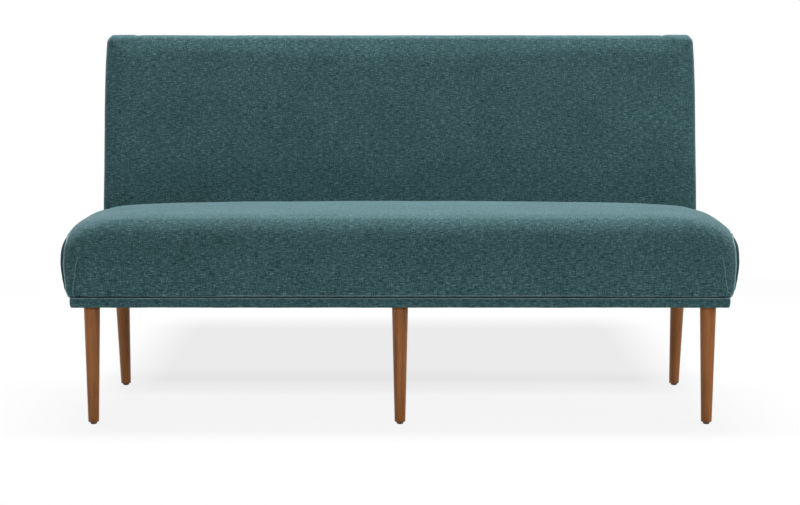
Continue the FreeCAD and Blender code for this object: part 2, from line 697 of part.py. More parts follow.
cover_shell = cut("seat_cover_shell", outer_seat, inner_seat)
cover_front = cut("seat_cover_front", cover_shell, behind)
between_seams = box("between_the_end_seams", "2 * @seat_end_seam", "900", "400")
stand(between_seams, "-@seat_end_seam", "-450", "200")
keep(common("seat_cover_node", cover_front, between_seams), "seat_cover")
for label, x in (("left_seat_end_panel", "-@seat_end_seam - 100"), ("right_seat_end_panel", "@seat_end_seam")):
    beyond = box(label + "_room", "100", "900", "400")
    stand(beyond, x, "-450", "200")
    keep(common(label + "_node", cover_front, beyond), label)

# Band: four covered strips round the foot of the frame, with rounded edges


def band(label, length, x, y, turn):
    strip, pad = padded(label + "_strip", "YZ_Plane", [
        ("-@band_thick", "0"), ("0", "0"), ("0", "@band_tall"), ("-@band_thick", "@band_tall"),
    ], length)
    doc.recompute()
    long_edges = [
        f"Edge{number}" for number, edge in enumerate(pad.Shape.Edges, 1)
        if edge.Length > 100 and edge.CenterOfMass.y < -size("band_thick") + 0.01
    ]
    rounding = strip.newObject("PartDesign::Fillet", label + "_rounding")
    rounding.Base = (pad, long_edges)
    bind(rounding, Radius="@band_thick * 0.8")
    strip.Placement = Placement(Vector(0, 0, 0), Rotation(Z_AXIS, turn))
    return keep(stand(strip, x, y, "@band_bottom"), label)


band("front_band", "2 * @end_face", "-@end_face", "-@front_face", 0)
band("rear_band", "2 * @end_face", "@end_face", "@rear_face", 180)
end_run = "@front_face + @rear_face + 2 * @band_thick"
band("left_band", end_run, "-@end_face", "@rear_face + @band_thick", 270)
band("right_band", end_run, "@end_face", "-@front_face - @band_thick", 90)

# Back soft goods, in the slanted frame of the back


def back_slab(name, inset):
    """The back's form, smaller by the inset on its face, sides and top."""
    block, pad = padded(name, "XZ_Plane", [
        (f"-@back_half + {inset}", "0"), (f"@back_half - {inset}", "0"),
        (f"@back_half - {inset}", f"@back_tall - {inset}"), (f"-@back_half + {inset}", f"@back_tall - {inset}"),
    ], f"@back_thick - 2 * {inset}")
    doc.recompute()
    corners = [
        f"Edge{number}" for number, edge in enumerate(pad.Shape.Edges, 1)
        if abs(edge.tangentAt(edge.FirstParameter).y) > 0.9 and edge.CenterOfMass.z > size("back_tall") / 2
    ]
    corner_rounding = block.newObject("PartDesign::Fillet", name + "_corners")
    corner_rounding.Base = (pad, corners)
    bind(corner_rounding, Radius=f"@back_corner_round - {inset}")
    doc.recompute()
    front = max(edge.CenterOfMass.y for edge in corner_rounding.Shape.Edges)
    rear = min(edge.CenterOfMass.y for edge in corner_rounding.Shape.Edges)
    for place, radius, label in (
        (rear, f"@back_front_round - {inset}", "front"), (front, f"@back_rear_round - {inset}", "rear"),
    ):
        last = block.Tip
        edges = [
            f"Edge{number}" for number, edge in enumerate(last.Shape.Edges, 1)
            if abs(edge.CenterOfMass.y - place) < 0.01 and edge.CenterOfMass.z > 5
            and edge.BoundBox.YLength < 0.01
        ]
        rounding = block.newObject("PartDesign::Fillet", f"{name}_{label}_edges")
        rounding.Base = (last, edges)
        bind(rounding, Radius=radius)
        doc.recompute()
    return block


def back_slab_at(name, inset):
    """The slab set so that its face is the inset behind the face of the back."""
    return stand(back_slab(name, inset), "0", f"@back_thick - {inset}")


def back_room(name, x, t, v, length, width, height):
    """A box in the slanted frame before it is leaned."""
    return stand(box(name, length, width, height), x, t, v)


outer_back = back_slab_at("back_outer_form", "0")
inner_back = back_slab_at("back_inner_form", "@cover_thick")
back_shell = cut("back_cover_shell", outer_back, inner_back)

LINER = 3
REAR_SEAM = "@back_thick - @cover_thick"
FRONT_SEAM = "@back_half - 4"

# What the back's soft goods are cut to: they end on the band, on the rails, and on the seat's deck
below_band_top = box("below_the_band_top", "2000", "1000", f"@seat_bottom - {FIT}")
stand(below_band_top, "-1000", "-500")
below_liner_foot = box("below_the_liner_foot", "2000", "1000", "@seat_bottom + 10")
stand(below_liner_foot, "-1000", "-500")
below_wrap_foot = box("below_the_wrap_foot", "2000", "1000", "@deck_edge + @deck_thick + 2")
stand(below_wrap_foot, "-1000", "-500")

rear_room = back_room("rear_panel_room", "-900", REAR_SEAM, "-10", "1800", "20", "700")
rear_panel = lean(common("rear_panel_form", back_shell, rear_room))
relieved("outside_back_cover", rear_panel, below_band_top)

# The inside cover is drawn down behind the seat and ends on the lower rails
face_room = back_room(
    "face_room", f"-({FRONT_SEAM})", "-10", "@back_pad_foot - 10",
    f"2 * ({FRONT_SEAM})", f"{REAR_SEAM} + 10", "700",
)
keep(lean(common("inside_back_cover_form", back_shell, face_room)), "inside_back_cover")
for label, x in (("left_back_side_panel", f"-({FRONT_SEAM}) - 40"), ("right_back_side_panel", FRONT_SEAM)):
    side_room = back_room(label + "_room", x, "-10", "-10", "40", f"{REAR_SEAM} + 10", "700")
    side_panel = lean(common(label + "_form", back_shell, side_room))
    relieved(label, side_panel, below_band_top, rail_room)

# A stiff liner board lies under the outside back
liner_room = back_room("liner_room", "-900", f"{REAR_SEAM} - {LINER}", "0.5", "1800", f"{LINER}", "700")
liner = lean(common("liner_form", inner_back, liner_room))
relieved("back_liner_board", liner, below_liner_foot)

# Wadding over the face, the sides and the top, with room inside it for the foam and for the frame
SIDE_WRAP = 11
foam_room = back_room(
    "back_foam_room", f"-@end_face + {SIDE_WRAP}", "@back_pad_near", "-10",
    f"2 * (@end_face - {SIDE_WRAP})", "@back_thick", f"@back_tall - @wrap_thick + {FIT} + 10",
)
frame_room = back_room(
    "back_frame_room", "-900", f"@back_frame_near - {FIT}", "-10",
    "1800", "@back_thick", f"@back_tall - @wrap_thick + {FIT} + 10",
)
wrap_depth = back_room("wrap_depth", "-900", "-10", "0", "1800", f"{REAR_SEAM} - {LINER} + 10", "700")
wrap_at_foam = cut("back_wrap_at_foam", inner_back, foam_room)
wrap_at_frame = cut("back_wrap_at_frame", wrap_at_foam, frame_room)
back_wrap_form = lean(common("back_wrap_form", wrap_at_frame, wrap_depth))
relieved("back_wrap", back_wrap_form, below_wrap_foot, *posts)

# Foam from just above the seat's deck to the top rail's top
foam_depth = "@back_frame_near - @back_pad_near - 2.2"
back_foam = box(
    "back_foam_block", f"2 * (@end_face - {SIDE_WRAP})", foam_depth, "@back_tall - @wrap_thick - @back_pad_foot"
)
lean(back_foam, f"-@end_face + {SIDE_WRAP}", "@back_pad_near", "@back_pad_foot")
relieved("back_foam", back_foam, *posts)

# Dust cover: a thin cloth under the frame

dust_cover = box(
    "dust_cover_cloth", "2 * @end_face - 4", "@front_face + @rear_face - 4", "@rail_bottom - @leg_top"
)
stand(dust_cover, "-@end_face + 2", "-@front_face + 2", "@leg_top")
relieved("dust_cover", dust_cover, leg_hanger_bolts, dust_cover_staples)

doc.recompute()

# Every object and every sub-part is tested before anything is written

failed = [item.Name for item in doc.Objects if "Invalid" in item.State or "Error" in item.State]
if failed:
    raise SystemExit(f"failed objects: {failed}")
labels = [item.Label for item in nodes]
if len(set(labels)) != len(labels) or len(labels) > 60:
    raise SystemExit("sub-part names repeat, or there are too many")
for item in nodes:
    if item.Shape.isNull() or not item.Shape.isValid() or not item.Shape.Solids:
        raise SystemExit(f"bad shape: {item.Label}")

os.makedirs("parts", exist_ok=True)
whole = FreeCAD.BoundBox()
for item in nodes:
    item.Shape.exportStep(f"parts/{item.Label}.step")
    whole.add(item.Shape.BoundBox)
    print(f"{item.Label}: {len(item.Shape.Solids)} solids, {item.Shape.Volume / 1000:.1f} cm3")
print(f"{len(nodes)} sub-parts, box {whole}")
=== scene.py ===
# %% [markdown]
# # An upholstered bench, piece by piece
# This lesson dresses the frame of a long bench: a thick crowned seat, a low leaning back, a cloth band
# round the base and six slim turned legs. The construction model is loaded first and never moved.
# Everything here is in metres, and every new piece is made where the construction model says it is.

# %% Load the fixed frame
import math
import bpy
import bmesh
import numpy as np
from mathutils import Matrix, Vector
from mathutils.bvhtree import BVHTree


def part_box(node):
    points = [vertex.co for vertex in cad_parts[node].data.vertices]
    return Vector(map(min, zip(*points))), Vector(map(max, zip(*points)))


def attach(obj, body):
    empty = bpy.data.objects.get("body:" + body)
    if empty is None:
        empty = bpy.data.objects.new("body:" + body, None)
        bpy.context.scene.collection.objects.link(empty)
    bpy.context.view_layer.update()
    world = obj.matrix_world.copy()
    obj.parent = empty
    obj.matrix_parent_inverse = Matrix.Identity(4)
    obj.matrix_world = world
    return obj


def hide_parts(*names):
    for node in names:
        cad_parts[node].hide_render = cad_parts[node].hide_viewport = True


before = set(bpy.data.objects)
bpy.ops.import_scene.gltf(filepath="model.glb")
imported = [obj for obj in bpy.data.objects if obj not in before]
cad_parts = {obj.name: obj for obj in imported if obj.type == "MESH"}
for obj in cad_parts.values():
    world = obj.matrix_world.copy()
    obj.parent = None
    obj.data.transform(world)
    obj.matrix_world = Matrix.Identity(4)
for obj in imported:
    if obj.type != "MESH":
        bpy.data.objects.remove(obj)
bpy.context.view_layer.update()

# %% [markdown]
# ## The camera
# The bench is seen from straight in front, from a little above the seat and with a long lens. The
# camera comes first, because it decides which details are worth making.

# %% Camera
camera = bpy.data.objects.new("camera", bpy.data.cameras.new("camera"))
bpy.context.scene.collection.objects.link(camera)
camera.data.sensor_width = 36
camera.data.lens = 88.2
camera.data.clip_end = 60
camera.location = (0, -4.5888, 0.8201)
camera.rotation_euler = (math.radians(90 - 5.76), 0, 0)
bpy.context.scene.camera = camera

# %% [markdown]
# ## Building node trees
# Shader and geometry trees are long lists of small nodes. Two helpers keep them readable: one adds a
# node, sets its values and links whatever is already a socket, and one does arithmetic.

# %% Node helpers
def fill_inputs(tree, node, values):
    for key, value in values.items():
        if isinstance(value, bpy.types.NodeSocket):
            tree.links.new(value, node.inputs[key])
        else:
            node.inputs[key].default_value = value


def put(tree, kind, inputs=None, **settings):
    made = tree.nodes.new(kind)
    for key, value in settings.items():
        setattr(made, key, value)
    fill_inputs(tree, made, inputs or {})
    return made


def maths(tree, operation, first, second=0.0, clamp=False):
    inputs = {0: first, 1: second}
    return put(tree, "ShaderNodeMath", inputs, operation=operation, use_clamp=clamp).outputs[0]


def vector(tree, operation, first, second):
    made = put(tree, "ShaderNodeVectorMath", {0: first, 1: second}, operation=operation)
    return made.outputs["Value"] if operation == "DOT_PRODUCT" else made.outputs["Vector"]


def enlarged(tree, place, scale):
    return put(tree, "ShaderNodeVectorMath", {0: place, "Scale": scale}, operation="SCALE").outputs["Vector"]


def blend(tree, share, first, second):
    return put(tree, "ShaderNodeMix", {0: share, 6: first, 7: second}, data_type="RGBA").outputs[2]


def between(tree, value, low, high, to_low=0.0, to_high=1.0):
    return put(tree, "ShaderNodeMapRange", {0: value, 1: low, 2: high, 3: to_low, 4: to_high}).outputs[0]


def speckle(tree, place, scale, detail=2.0, roughness=0.5):
    inputs = {"Vector": place, "Scale": scale, "Detail": detail, "Roughness": roughness}
    return put(tree, "ShaderNodeTexNoise", inputs).outputs[0]


def bump(tree, strength, distance, height):
    inputs = {"Strength": strength, "Distance": distance, "Height": height}
    return put(tree, "ShaderNodeBump", inputs).outputs[0]


def srgb(red, green, blue):
    def linear(level):
        level /= 255
        return level / 12.92 if level <= 0.04045 else ((level + 0.055) / 1.055) ** 2.4

    return (linear(red), linear(green), linear(blue), 1.0)


def shader_group(name, inputs, outputs):
    tree = bpy.data.node_groups.new(name, "ShaderNodeTree")
    for label, kind, default in inputs:
        socket = tree.interface.new_socket(label, in_out="INPUT", socket_type=kind)
        if default is not None:
            socket.default_value = default
    for label, kind in outputs:
        tree.interface.new_socket(label, in_out="OUTPUT", socket_type=kind)
    return tree, tree.nodes.new("NodeGroupInput"), tree.nodes.new("NodeGroupOutput")

# %% [markdown]
# ## The cloth's weave
# The cover is a heathered chenille: teal yarns of uneven thickness, crossed at right angles, with short
# darker and paler stretches a few millimetres long. One group draws that from a flat place on the cloth,
# in metres, so that every piece of cover shares the same yarn. It gives a colour and a height; the
# sheen stays in the material, because it is the same all over.

# %% Weave group
FLOAT, COLOR, VECTOR = "NodeSocketFloat", "NodeSocketColor", "NodeSocketVector"
GROUND, SHADE, FLECK = (50, 81, 84), (23, 50, 54), (106, 142, 146)
ACROSS_YARN, UPRIGHT_YARN = (62.0, 500.0, 1.0), (500.0, 70.0, 1.0)
weave, given, result = shader_group(
    "heathered_weave",
    [("Place", VECTOR, None), ("Ground", COLOR, srgb(*GROUND)), ("Shade", COLOR, srgb(*SHADE)),
     ("Fleck", COLOR, srgb(*FLECK)), ("Pitch", FLOAT, 0.0014)],
    [("Color", COLOR), ("Height", FLOAT), ("Roughness", FLOAT)],
)
flat_place = given.outputs["Place"]


def slub(yarn, shift, scale, detail):
    """Thick and thin stretches along the yarns of one direction; each shift gives other stretches."""
    moved = vector(weave, "ADD", vector(weave, "MULTIPLY", flat_place, yarn), shift)
    return speckle(weave, moved, scale, detail, 0.6)


across_slub = slub(ACROSS_YARN, (0.0, 0.0, 0.0), 1.0, 3.0)
upright_slub = slub(UPRIGHT_YARN, (9.0, 4.0, 0.0), 1.0, 3.0)
across_fleck = slub(ACROSS_YARN, (37.0, 90.0, 0.0), 1.3, 2.0)
upright_fleck = slub(UPRIGHT_YARN, (51.0, 23.0, 0.0), 1.2, 2.0)
grainy = speckle(weave, vector(weave, "MULTIPLY", flat_place, (420.0, 560.0, 1.0)), 1.0, 3.0, 0.7)
drift = between(weave, speckle(weave, flat_place, 7.0, 3.0, 0.55), 0.3, 0.7, 0.90, 1.10)
shade_share = maths(weave, "MAXIMUM", between(weave, across_slub, 0.50, 0.62),
                    between(weave, upright_slub, 0.54, 0.66, 0, 0.8))
fleck_share = maths(weave, "MAXIMUM", between(weave, across_fleck, 0.53, 0.70, 0, 0.95),
                    between(weave, upright_fleck, 0.55, 0.72, 0, 0.85))
fleck_share = maths(weave, "MAXIMUM", fleck_share, between(weave, grainy, 0.58, 0.74, 0, 0.6))
shade_amount = maths(weave, "MULTIPLY", shade_share, 0.95)
tone = blend(weave, shade_amount, given.outputs["Ground"], given.outputs["Shade"])
tone = blend(weave, maths(weave, "MULTIPLY", fleck_share, 0.85), tone, given.outputs["Fleck"])
split = put(weave, "ShaderNodeSeparateXYZ", {0: flat_place}).outputs
turns = maths(weave, "DIVIDE", 2 * math.pi, given.outputs["Pitch"])
over, under = [maths(weave, "SINE", maths(weave, "MULTIPLY", split[axis], turns)) for axis in (0, 1)]
crossing = maths(weave, "MULTIPLY", maths(weave, "MULTIPLY", over, under), 0.22)
ridge = maths(weave, "ADD", crossing, maths(weave, "MULTIPLY", across_fleck, 0.9))
fill_inputs(weave, result, {
    "Color": enlarged(weave, tone, drift),
    "Height": maths(weave, "SUBTRACT", ridge, maths(weave, "MULTIPLY", shade_share, 0.25)),
    "Roughness": between(weave, grainy, 0.3, 0.7, 0.78, 0.94),
})
print("weave group nodes:", len(weave.nodes))

# %% [markdown]
# ## Cover materials
# The cloth is cut so that its yarns run along the bench and up it. A piece of cover is therefore given two
# directions, and the place on the cloth is how far a point lies along each. On a rounded front edge the
# second direction mixes up and back, so the yarns carry on over the edge as one sheet.

# %% Cover materials
def principled(name):
    material = bpy.data.materials.new(name)
    material.use_nodes = True
    tree = material.node_tree
    return material, tree, tree.nodes["Principled BSDF"]


def object_place(tree):
    return put(tree, "ShaderNodeTexCoord").outputs["Object"]


def woven(tree, place, tones, pitch=None):
    """The weave group in a material, with its three tones."""
    yarn = put(tree, "ShaderNodeGroup", node_tree=weave)
    ground, shade, fleck = [srgb(*tone) for tone in tones]
    fill_inputs(tree, yarn, {"Place": place, "Ground": ground, "Shade": shade, "Fleck": fleck})
    if pitch:
        yarn.inputs["Pitch"].default_value = pitch
    return yarn.outputs


def cover_material(name, across, up, ground=GROUND, shade=SHADE, fleck=FLECK, sheen=0.45):
    material, tree, shader = principled(name)
    along = [vector(tree, "DOT_PRODUCT", object_place(tree), way) for way in (across, up)]
    flat = put(tree, "ShaderNodeCombineXYZ", {0: along[0], 1: along[1]}).outputs[0]
    yarn = woven(tree, flat, (ground, shade, fleck))
    fill_inputs(tree, shader, {
        "Base Color": yarn["Color"], "Roughness": yarn["Roughness"], "Specular IOR Level": 0.10,
        "Normal": bump(tree, 0.7, 0.0006, yarn["Height"]),
        "Sheen Weight": sheen, "Sheen Roughness": 0.42, "Sheen Tint": srgb(188, 209, 216),
    })
    return material


RECLINE = math.radians(9.5)
LEAN_UP = (0.0, math.sin(RECLINE), math.cos(RECLINE))
LEAN_IN = (0.0, math.cos(RECLINE), -math.sin(RECLINE))
RIGHT, INWARDS, UP, ROUND = (1, 0, 0), (0, 1, 0), (0, 0, 1), (1, 1, 0)
seat_cloth = cover_material("seat_cover_cloth", RIGHT, (0, 1, 1))
# painted shade: the end panels' cloth is darker, standing for the shade on the ends that face sideways
end_painted_shade_cloth = cover_material("end_panel_painted_shade_cloth", INWARDS, UP, (38, 64, 68), (17, 39, 43), (84, 114, 118), 0.12)
back_cloth = cover_material("back_cover_cloth", RIGHT, tuple(u + t for u, t in zip(LEAN_UP, LEAN_IN)))
side_cloth = cover_material("back_side_cloth", LEAN_IN, LEAN_UP)
band_cloth = cover_material("band_cloth", ROUND, UP)
# painted highlight: the pale cloth of the end seams' welts stands for the sheen their folded edges catch
welt_painted_highlight_cloth = cover_material(
    "seam_welt_painted_highlight_cloth", ROUND, UP, (136, 168, 171), (106, 138, 141), (156, 186, 189), 0.7)
# painted highlight: paler cloth for the hem roll and the dart ridges, standing for the light along their
# folds
hem_painted_highlight_cloth = cover_material("hem_roll_painted_highlight_cloth", ROUND, UP, (86, 118, 121), (54, 82, 85), (128, 160, 163), 0.6)
# painted highlight: the pale cloth of the band's top roll stands for the light along its upper edge
roll_painted_highlight_cloth = cover_material(
    "band_roll_painted_highlight_cloth", ROUND, UP, (112, 144, 147), (84, 114, 117), (140, 170, 173), 0.6)
# painted shade: near-black cloth for tubes laid where the seams' gaps are in shadow
painted_seam_shade = cover_material("painted_seam_shade_cloth", ROUND, UP, (8, 22, 26), (4, 12, 15), (18, 36, 40), 0.02)

# %% [markdown]
# ## Shapes made of rings
# The seat and the back are both stacks of closed outlines. An outline is a rectangle with round corners
# whose sides may be crowned, always with the same number of points in each stretch, so that two outlines
# can be joined point by point into clean four-sided faces. The right half is worked out and mirrored.

# %% Outline and skin
# points in half of a long side, in a corner and in an end
LONG, CORNER, END = 50, 24, 32


def outline(half, near, far, near_corner, far_corner, end_crown=0.0, near_crown=0.0):
    side, front = half - end_crown, near + near_crown
    run = np.linspace(0, 1, LONG + 1)
    turn = np.linspace(0, math.pi / 2, CORNER + 1)[1:-1]
    climb = np.linspace(-1, 1, END + 1)
    low, high = front + near_corner, far - far_corner
    x = np.concatenate([
        run * (side - near_corner),
        side - near_corner + near_corner * np.sin(turn),
        side + end_crown * (1 - climb ** 2),
        side - far_corner + far_corner * np.cos(turn),
        run[::-1] * (side - far_corner),
    ])
    y = np.concatenate([
        near + near_crown * run ** 2,
        low - near_corner * np.cos(turn),
        (low + high) / 2 + climb * (high - low) / 2,
        high + far_corner * np.sin(turn),
        np.full_like(run, far),
    ])
    x, y = np.concatenate([x, -x[-2:0:-1]]), np.concatenate([y, y[-2:0:-1]])
    return np.stack([x, y], axis=1)


def ring(points, z):
    return np.column_stack([points, np.broadcast_to(z, len(points))])


def skin(rings):
    """Faces that join a stack of rings, each with the same number of points."""
    count = len(rings[0])
    faces = []
    for level in range(len(rings) - 1):
        low, high = level * count, (level + 1) * count
        faces += [(low + i, low + (i + 1) % count, high + (i + 1) % count, high + i) for i in range(count)]
    return faces


def link_new(name, data):
    made = bpy.data.objects.new(name, data)
    bpy.context.scene.collection.objects.link(made)
    return made


def new_piece(name, points, faces, materials, smooth=True):
    mesh = bpy.data.meshes.new(name)
    mesh.from_pydata([tuple(p) for p in points], [], faces)
    for material in materials:
        mesh.materials.append(material)
    mesh.polygons.foreach_set("use_smooth", [smooth] * len(mesh.polygons))
    return link_new(name, mesh)


def close_up(piece, distance=1e-5):
    """Merges points that fell together and turns every face outwards."""
    work = bmesh.new()
    work.from_mesh(piece.data)
    bmesh.ops.remove_doubles(work, verts=work.verts, dist=distance)
    bmesh.ops.dissolve_degenerate(work, edges=work.edges, dist=distance)
    bmesh.ops.recalc_face_normals(work, faces=work.faces)
    work.to_mesh(piece.data)
    work.free()
    mesh = piece.data
    loose = sum(edge.is_loose for edge in mesh.edges)
    print(piece.name, "points:", len(mesh.vertices), "faces:", len(mesh.polygons), "loose:", loose)
    return piece


def shown_mesh(piece):
    bpy.context.view_layer.update()
    return bpy.data.meshes.new_from_object(piece.evaluated_get(bpy.context.evaluated_depsgraph_get()))


def read_points(collection, key):
    found = np.empty(len(collection) * 3)
    collection.foreach_get(key, found)
    return found.reshape(-1, 3)


def places(mesh):
    return read_points(mesh.vertices, "co")


def set_places(mesh, points):
    mesh.vertices.foreach_set("co", np.ascontiguousarray(points, dtype=float).ravel())
    mesh.update()


def outward(mesh):
    return read_points(mesh.vertex_normals, "vector")


def ease(value):
    value = np.clip(value, 0, 1)
    return value * value * (3 - 2 * value)


def smooth_rows(rows, along, at):
    """The rows of a table read at places between them, on a smooth line through all of them."""
    slopes = np.gradient(rows, along, axis=0)
    index = np.clip(np.searchsorted(along, at) - 1, 0, len(along) - 2)
    step = (along[index + 1] - along[index])[:, None]
    t = (at - along[index])[:, None] / step
    first, second = rows[index], rows[index + 1]
    return ((2 * t ** 3 - 3 * t ** 2 + 1) * first + (t ** 3 - 2 * t ** 2 + t) * step * slopes[index]
            + (3 * t ** 2 - 2 * t ** 3) * second + (t ** 3 - t ** 2) * step * slopes[index + 1])

# %% [markdown]
# ## The seat
# The seat is one thick pad under a tight cover. Its front and ends bulge between the hem and the top, and
# the top rises in a low crown that falls away for the last hand's breadth at each end. A short table of
# levels holds that profile, and a smooth line through the table gives as many rings as are needed. At the
# rear the pad stops against the leaning face of the back, and below it is hollow where the frame stands.

# %% Seat rings
SEAT_LOW, SEAT_TALL = 0.290, 0.185
BACK_FOOT_Y, BACK_FOOT_Z = 0.154, 0.289
SEAT_HALF, SEAT_FRONT = 0.757, 0.337
# share of the height, ends drawn in, front drawn in, rear line, front corner, rear corner (mm)
SEAT_LEVELS = np.array([
    (0.00, 17.5, 18.5, 0, 18, 9), (0.025, 12.6, 13.2, 0, 21, 9), (0.06, 10.2, 10.4, 0, 25, 10),
    (0.11, 8.4, 8.4, 0, 30, 11), (0.18, 5.2, 5.6, 0, 36, 12), (0.26, 2.8, 2.4, 0, 41, 13),
    (0.36, 0, 0, 0, 46, 14), (0.50, 0.4, 0, 0, 50, 16), (0.58, 1.6, 0.8, 0, 52, 18),
    (0.63, 4.4, 2.0, 0, 54, 19), (0.70, 10.2, 3.8, 0, 57, 22), (0.75, 15.8, 5.4, 0, 59, 25),
    (0.80, 23, 8.5, 1, 62, 28), (0.86, 36.5, 14, 3, 66, 34), (0.91, 57, 22, 8, 70, 44),
    (0.955, 118, 38, 36, 72, 56), (0.985, 250, 78, 95, 72, 60), (1.00, 395, 190, 155, 44, 44),
])


def back_face_y(z):
    return BACK_FOOT_Y + (z - BACK_FOOT_Z) * math.tan(RECLINE)


def rear_drop(points, share):
    """How far the crown falls away towards the back, most of all near the ends."""
    amount = np.interp(np.abs(points[:, 0]), [0, 0.30, 0.44, 0.51, 0.61, 0.66, 0.70, 0.75],
                       [0.0016, 0.0022, 0.0039, 0.0053, 0.0063, 0.0060, 0.0045, 0.0])
    return amount * ease((points[:, 1] + 0.08) / 0.16) * ease((share - 0.80) / 0.12)


level_place = np.concatenate([[0], np.cumsum(np.hypot(
    np.diff(SEAT_LEVELS[:, 0]) * SEAT_TALL * 1000, np.diff(SEAT_LEVELS[:, 1:3].mean(axis=1))))])
steps = np.linspace(0, level_place[-1], 40)
seat_rows = smooth_rows(SEAT_LEVELS, level_place, steps)
SLACK = -0.0008
seat_rings = []
for share, end_in, front_in, rear_in, front_corner, rear_corner in seat_rows:
    z = SEAT_LOW + share * SEAT_TALL
    shrink = SLACK * min(1.0, share / 0.12)
    z -= shrink if share > 0.9 else 0
    half = SEAT_HALF - end_in / 1000 - shrink
    near = -SEAT_FRONT + front_in / 1000 + shrink
    far = back_face_y(z) - 0.0006 - rear_in / 1000
    crown = min(0.009, half / 8)
    flat = outline(half, near, far, front_corner / 1000, rear_corner / 1000, crown, 0.004)
    seat_rings.append(ring(flat, z - rear_drop(flat, share)))
top_near, top_far = near, far
for share in np.linspace(0, 1, 7)[1:]:
    shrink = share * (top_far - top_near) / 2
    corner = 0.044 * (1 - share)
    flat = outline(half - shrink, top_near + shrink, top_far - shrink, corner, corner,
                   crown * (1 - share), 0.004 * (1 - share))
    seat_rings.append(ring(flat, z + 0.0006 * share - rear_drop(flat, 1.0)))
# the hollow over the frame: half length, front, rear and height of its rings, up to the deck's edge
DECK_EDGE = 0.3585
hollow_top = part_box("seat_deck_cloth")[1][2] + 0.003
hollow = []
for half, near, far, z in (
    (0.7240, -0.3110, back_face_y(SEAT_LOW) - 0.004, SEAT_LOW - 0.0012),
    (0.7245, -0.3115, back_face_y(SEAT_LOW) - 0.004, SEAT_LOW + 0.03),
    (0.7245, -0.3115, back_face_y(0.36) - 0.004, DECK_EDGE - 0.002),
    (0.700, -0.287, back_face_y(0.36) - 0.010, DECK_EDGE),
):
    hollow.append(ring(outline(half, near, far, 0.004, 0.004), z))
for share in np.linspace(0, 1, 5)[1:]:
    shrink = share * (far - near) / 2
    flat = outline(half - shrink, near + shrink, far - shrink, 0, 0)
    hollow.append(ring(flat, DECK_EDGE + (hollow_top - DECK_EDGE) * share))
seat_stack = hollow[::-1] + seat_rings
RING = len(seat_rings[0])
seat_points = np.concatenate(seat_stack)
seat = new_piece("seat_cushion", seat_points, skin(seat_stack), [seat_cloth, end_painted_shade_cloth])
print("seat rings:", len(seat_stack), "points a ring:", RING)

# %% [markdown]
# ## Seams and darts of the seat
# The cover has a separate panel at each end, sewn in along a seam that climbs just round the front corner,
# runs over the end and comes down at the rear. Beside it, a dart takes up the fullness of the front
# corner. Both are lines on the grid of rings, so they are worked out in ring numbers and read back as
# places on the finished cushion.

# %% Seam lines on the grid
BASE = len(hollow)


def level_of(share):
    return float(np.interp(share, seat_rows[:, 0], np.arange(len(seat_rows))))


def on_grid(column, level):
    """The place between grid points at a column and a level, both as fractions."""
    column, level = np.asarray(column, float), np.asarray(level, float)
    c, v = np.floor(column).astype(int), np.minimum(np.floor(level).astype(int), len(seat_rings) - 2)
    cf, vf = (column - c)[:, None], (level - v)[:, None]
    grid = seat_points.reshape(len(seat_stack), RING, 3)[BASE:]
    first = grid[v, c % RING] * (1 - cf) + grid[v, (c + 1) % RING] * cf
    second = grid[v + 1, c % RING] * (1 - cf) + grid[v + 1, (c + 1) % RING] * cf
    return first * (1 - vf) + second * vf


# the seam up its front side and down its rear side: how far round the corner, and the share of the height
FRONT_SIDE = [(0.84, 0.00), (0.66, 0.07), (0.57, 0.20), (0.55, 0.36), (0.56, 0.50), (0.60, 0.625),
              (0.70, 0.69), (1.20, 0.73)]
REAR_SIDE = [(0.55, 0.00), (0.45, 0.20), (0.45, 0.40), (0.30, 0.56), (0.10, 0.66), (-0.20, 0.725)]
PANEL_TOP = 0.765


def fine_line(points, count=70):
    along = np.concatenate([[0], np.cumsum(np.linalg.norm(np.diff(points, axis=0), axis=1))])
    return smooth_rows(points, along, np.linspace(0, along[-1], count))


def seam_side(start, table, before_middle, below_top):
    """One side of the seam in columns and levels, from the hem to the middle of the end's top."""
    middle, top = LONG + CORNER + END * 0.5, level_of(PANEL_TOP)
    rows = [(start + CORNER * turn, level_of(share)) for turn, share in table]
    return fine_line(np.array(rows + [(middle + before_middle, top - below_top), (middle, top)]))


front_path = seam_side(LONG, FRONT_SIDE, -6, 0.12)
rear_path = seam_side(LONG + CORNER + END, REAR_SIDE, 5, 0.10)
panel_path = np.concatenate([front_path, rear_path[-2::-1]])
right_panel_seam = on_grid(panel_path[:, 0], np.maximum(panel_path[:, 1], 0))
# share of the height, and how far round the front corner the dart runs there
DART = np.array([(0, 0.12), (0.115, 0.15), (0.23, 0.115), (0.36, 0.10), (0.50, 0.07), (0.645, 0.115),
                 (0.728, 0.174), (0.77, 0.21)])
dart_shares = np.linspace(0, DART[-1, 0], 50)
dart_columns = LONG + CORNER * smooth_rows(DART[:, 1:], DART[:, 0], dart_shares)[:, 0]
right_dart = on_grid(dart_columns, np.array([level_of(share) for share in dart_shares]))
mirror_x = np.array([-1.0, 1.0, 1.0])
seat_lines = {"right_panel": right_panel_seam, "left_panel": right_panel_seam * mirror_x,
              "right_dart": right_dart, "left_dart": right_dart * mirror_x}
print({name: len(line) for name, line in seat_lines.items()})

# %% [markdown]
# ## Filling the seat
# A cloth simulation gives the tight, slightly swollen look of a stuffed cover. The mesh is pinned where the
# cover is sewn or tacked: at the hem, along the seams and darts, and at the back. Air pressure then pushes
# the rest out for a few frames, and the movement is capped, so that the seat keeps its size.

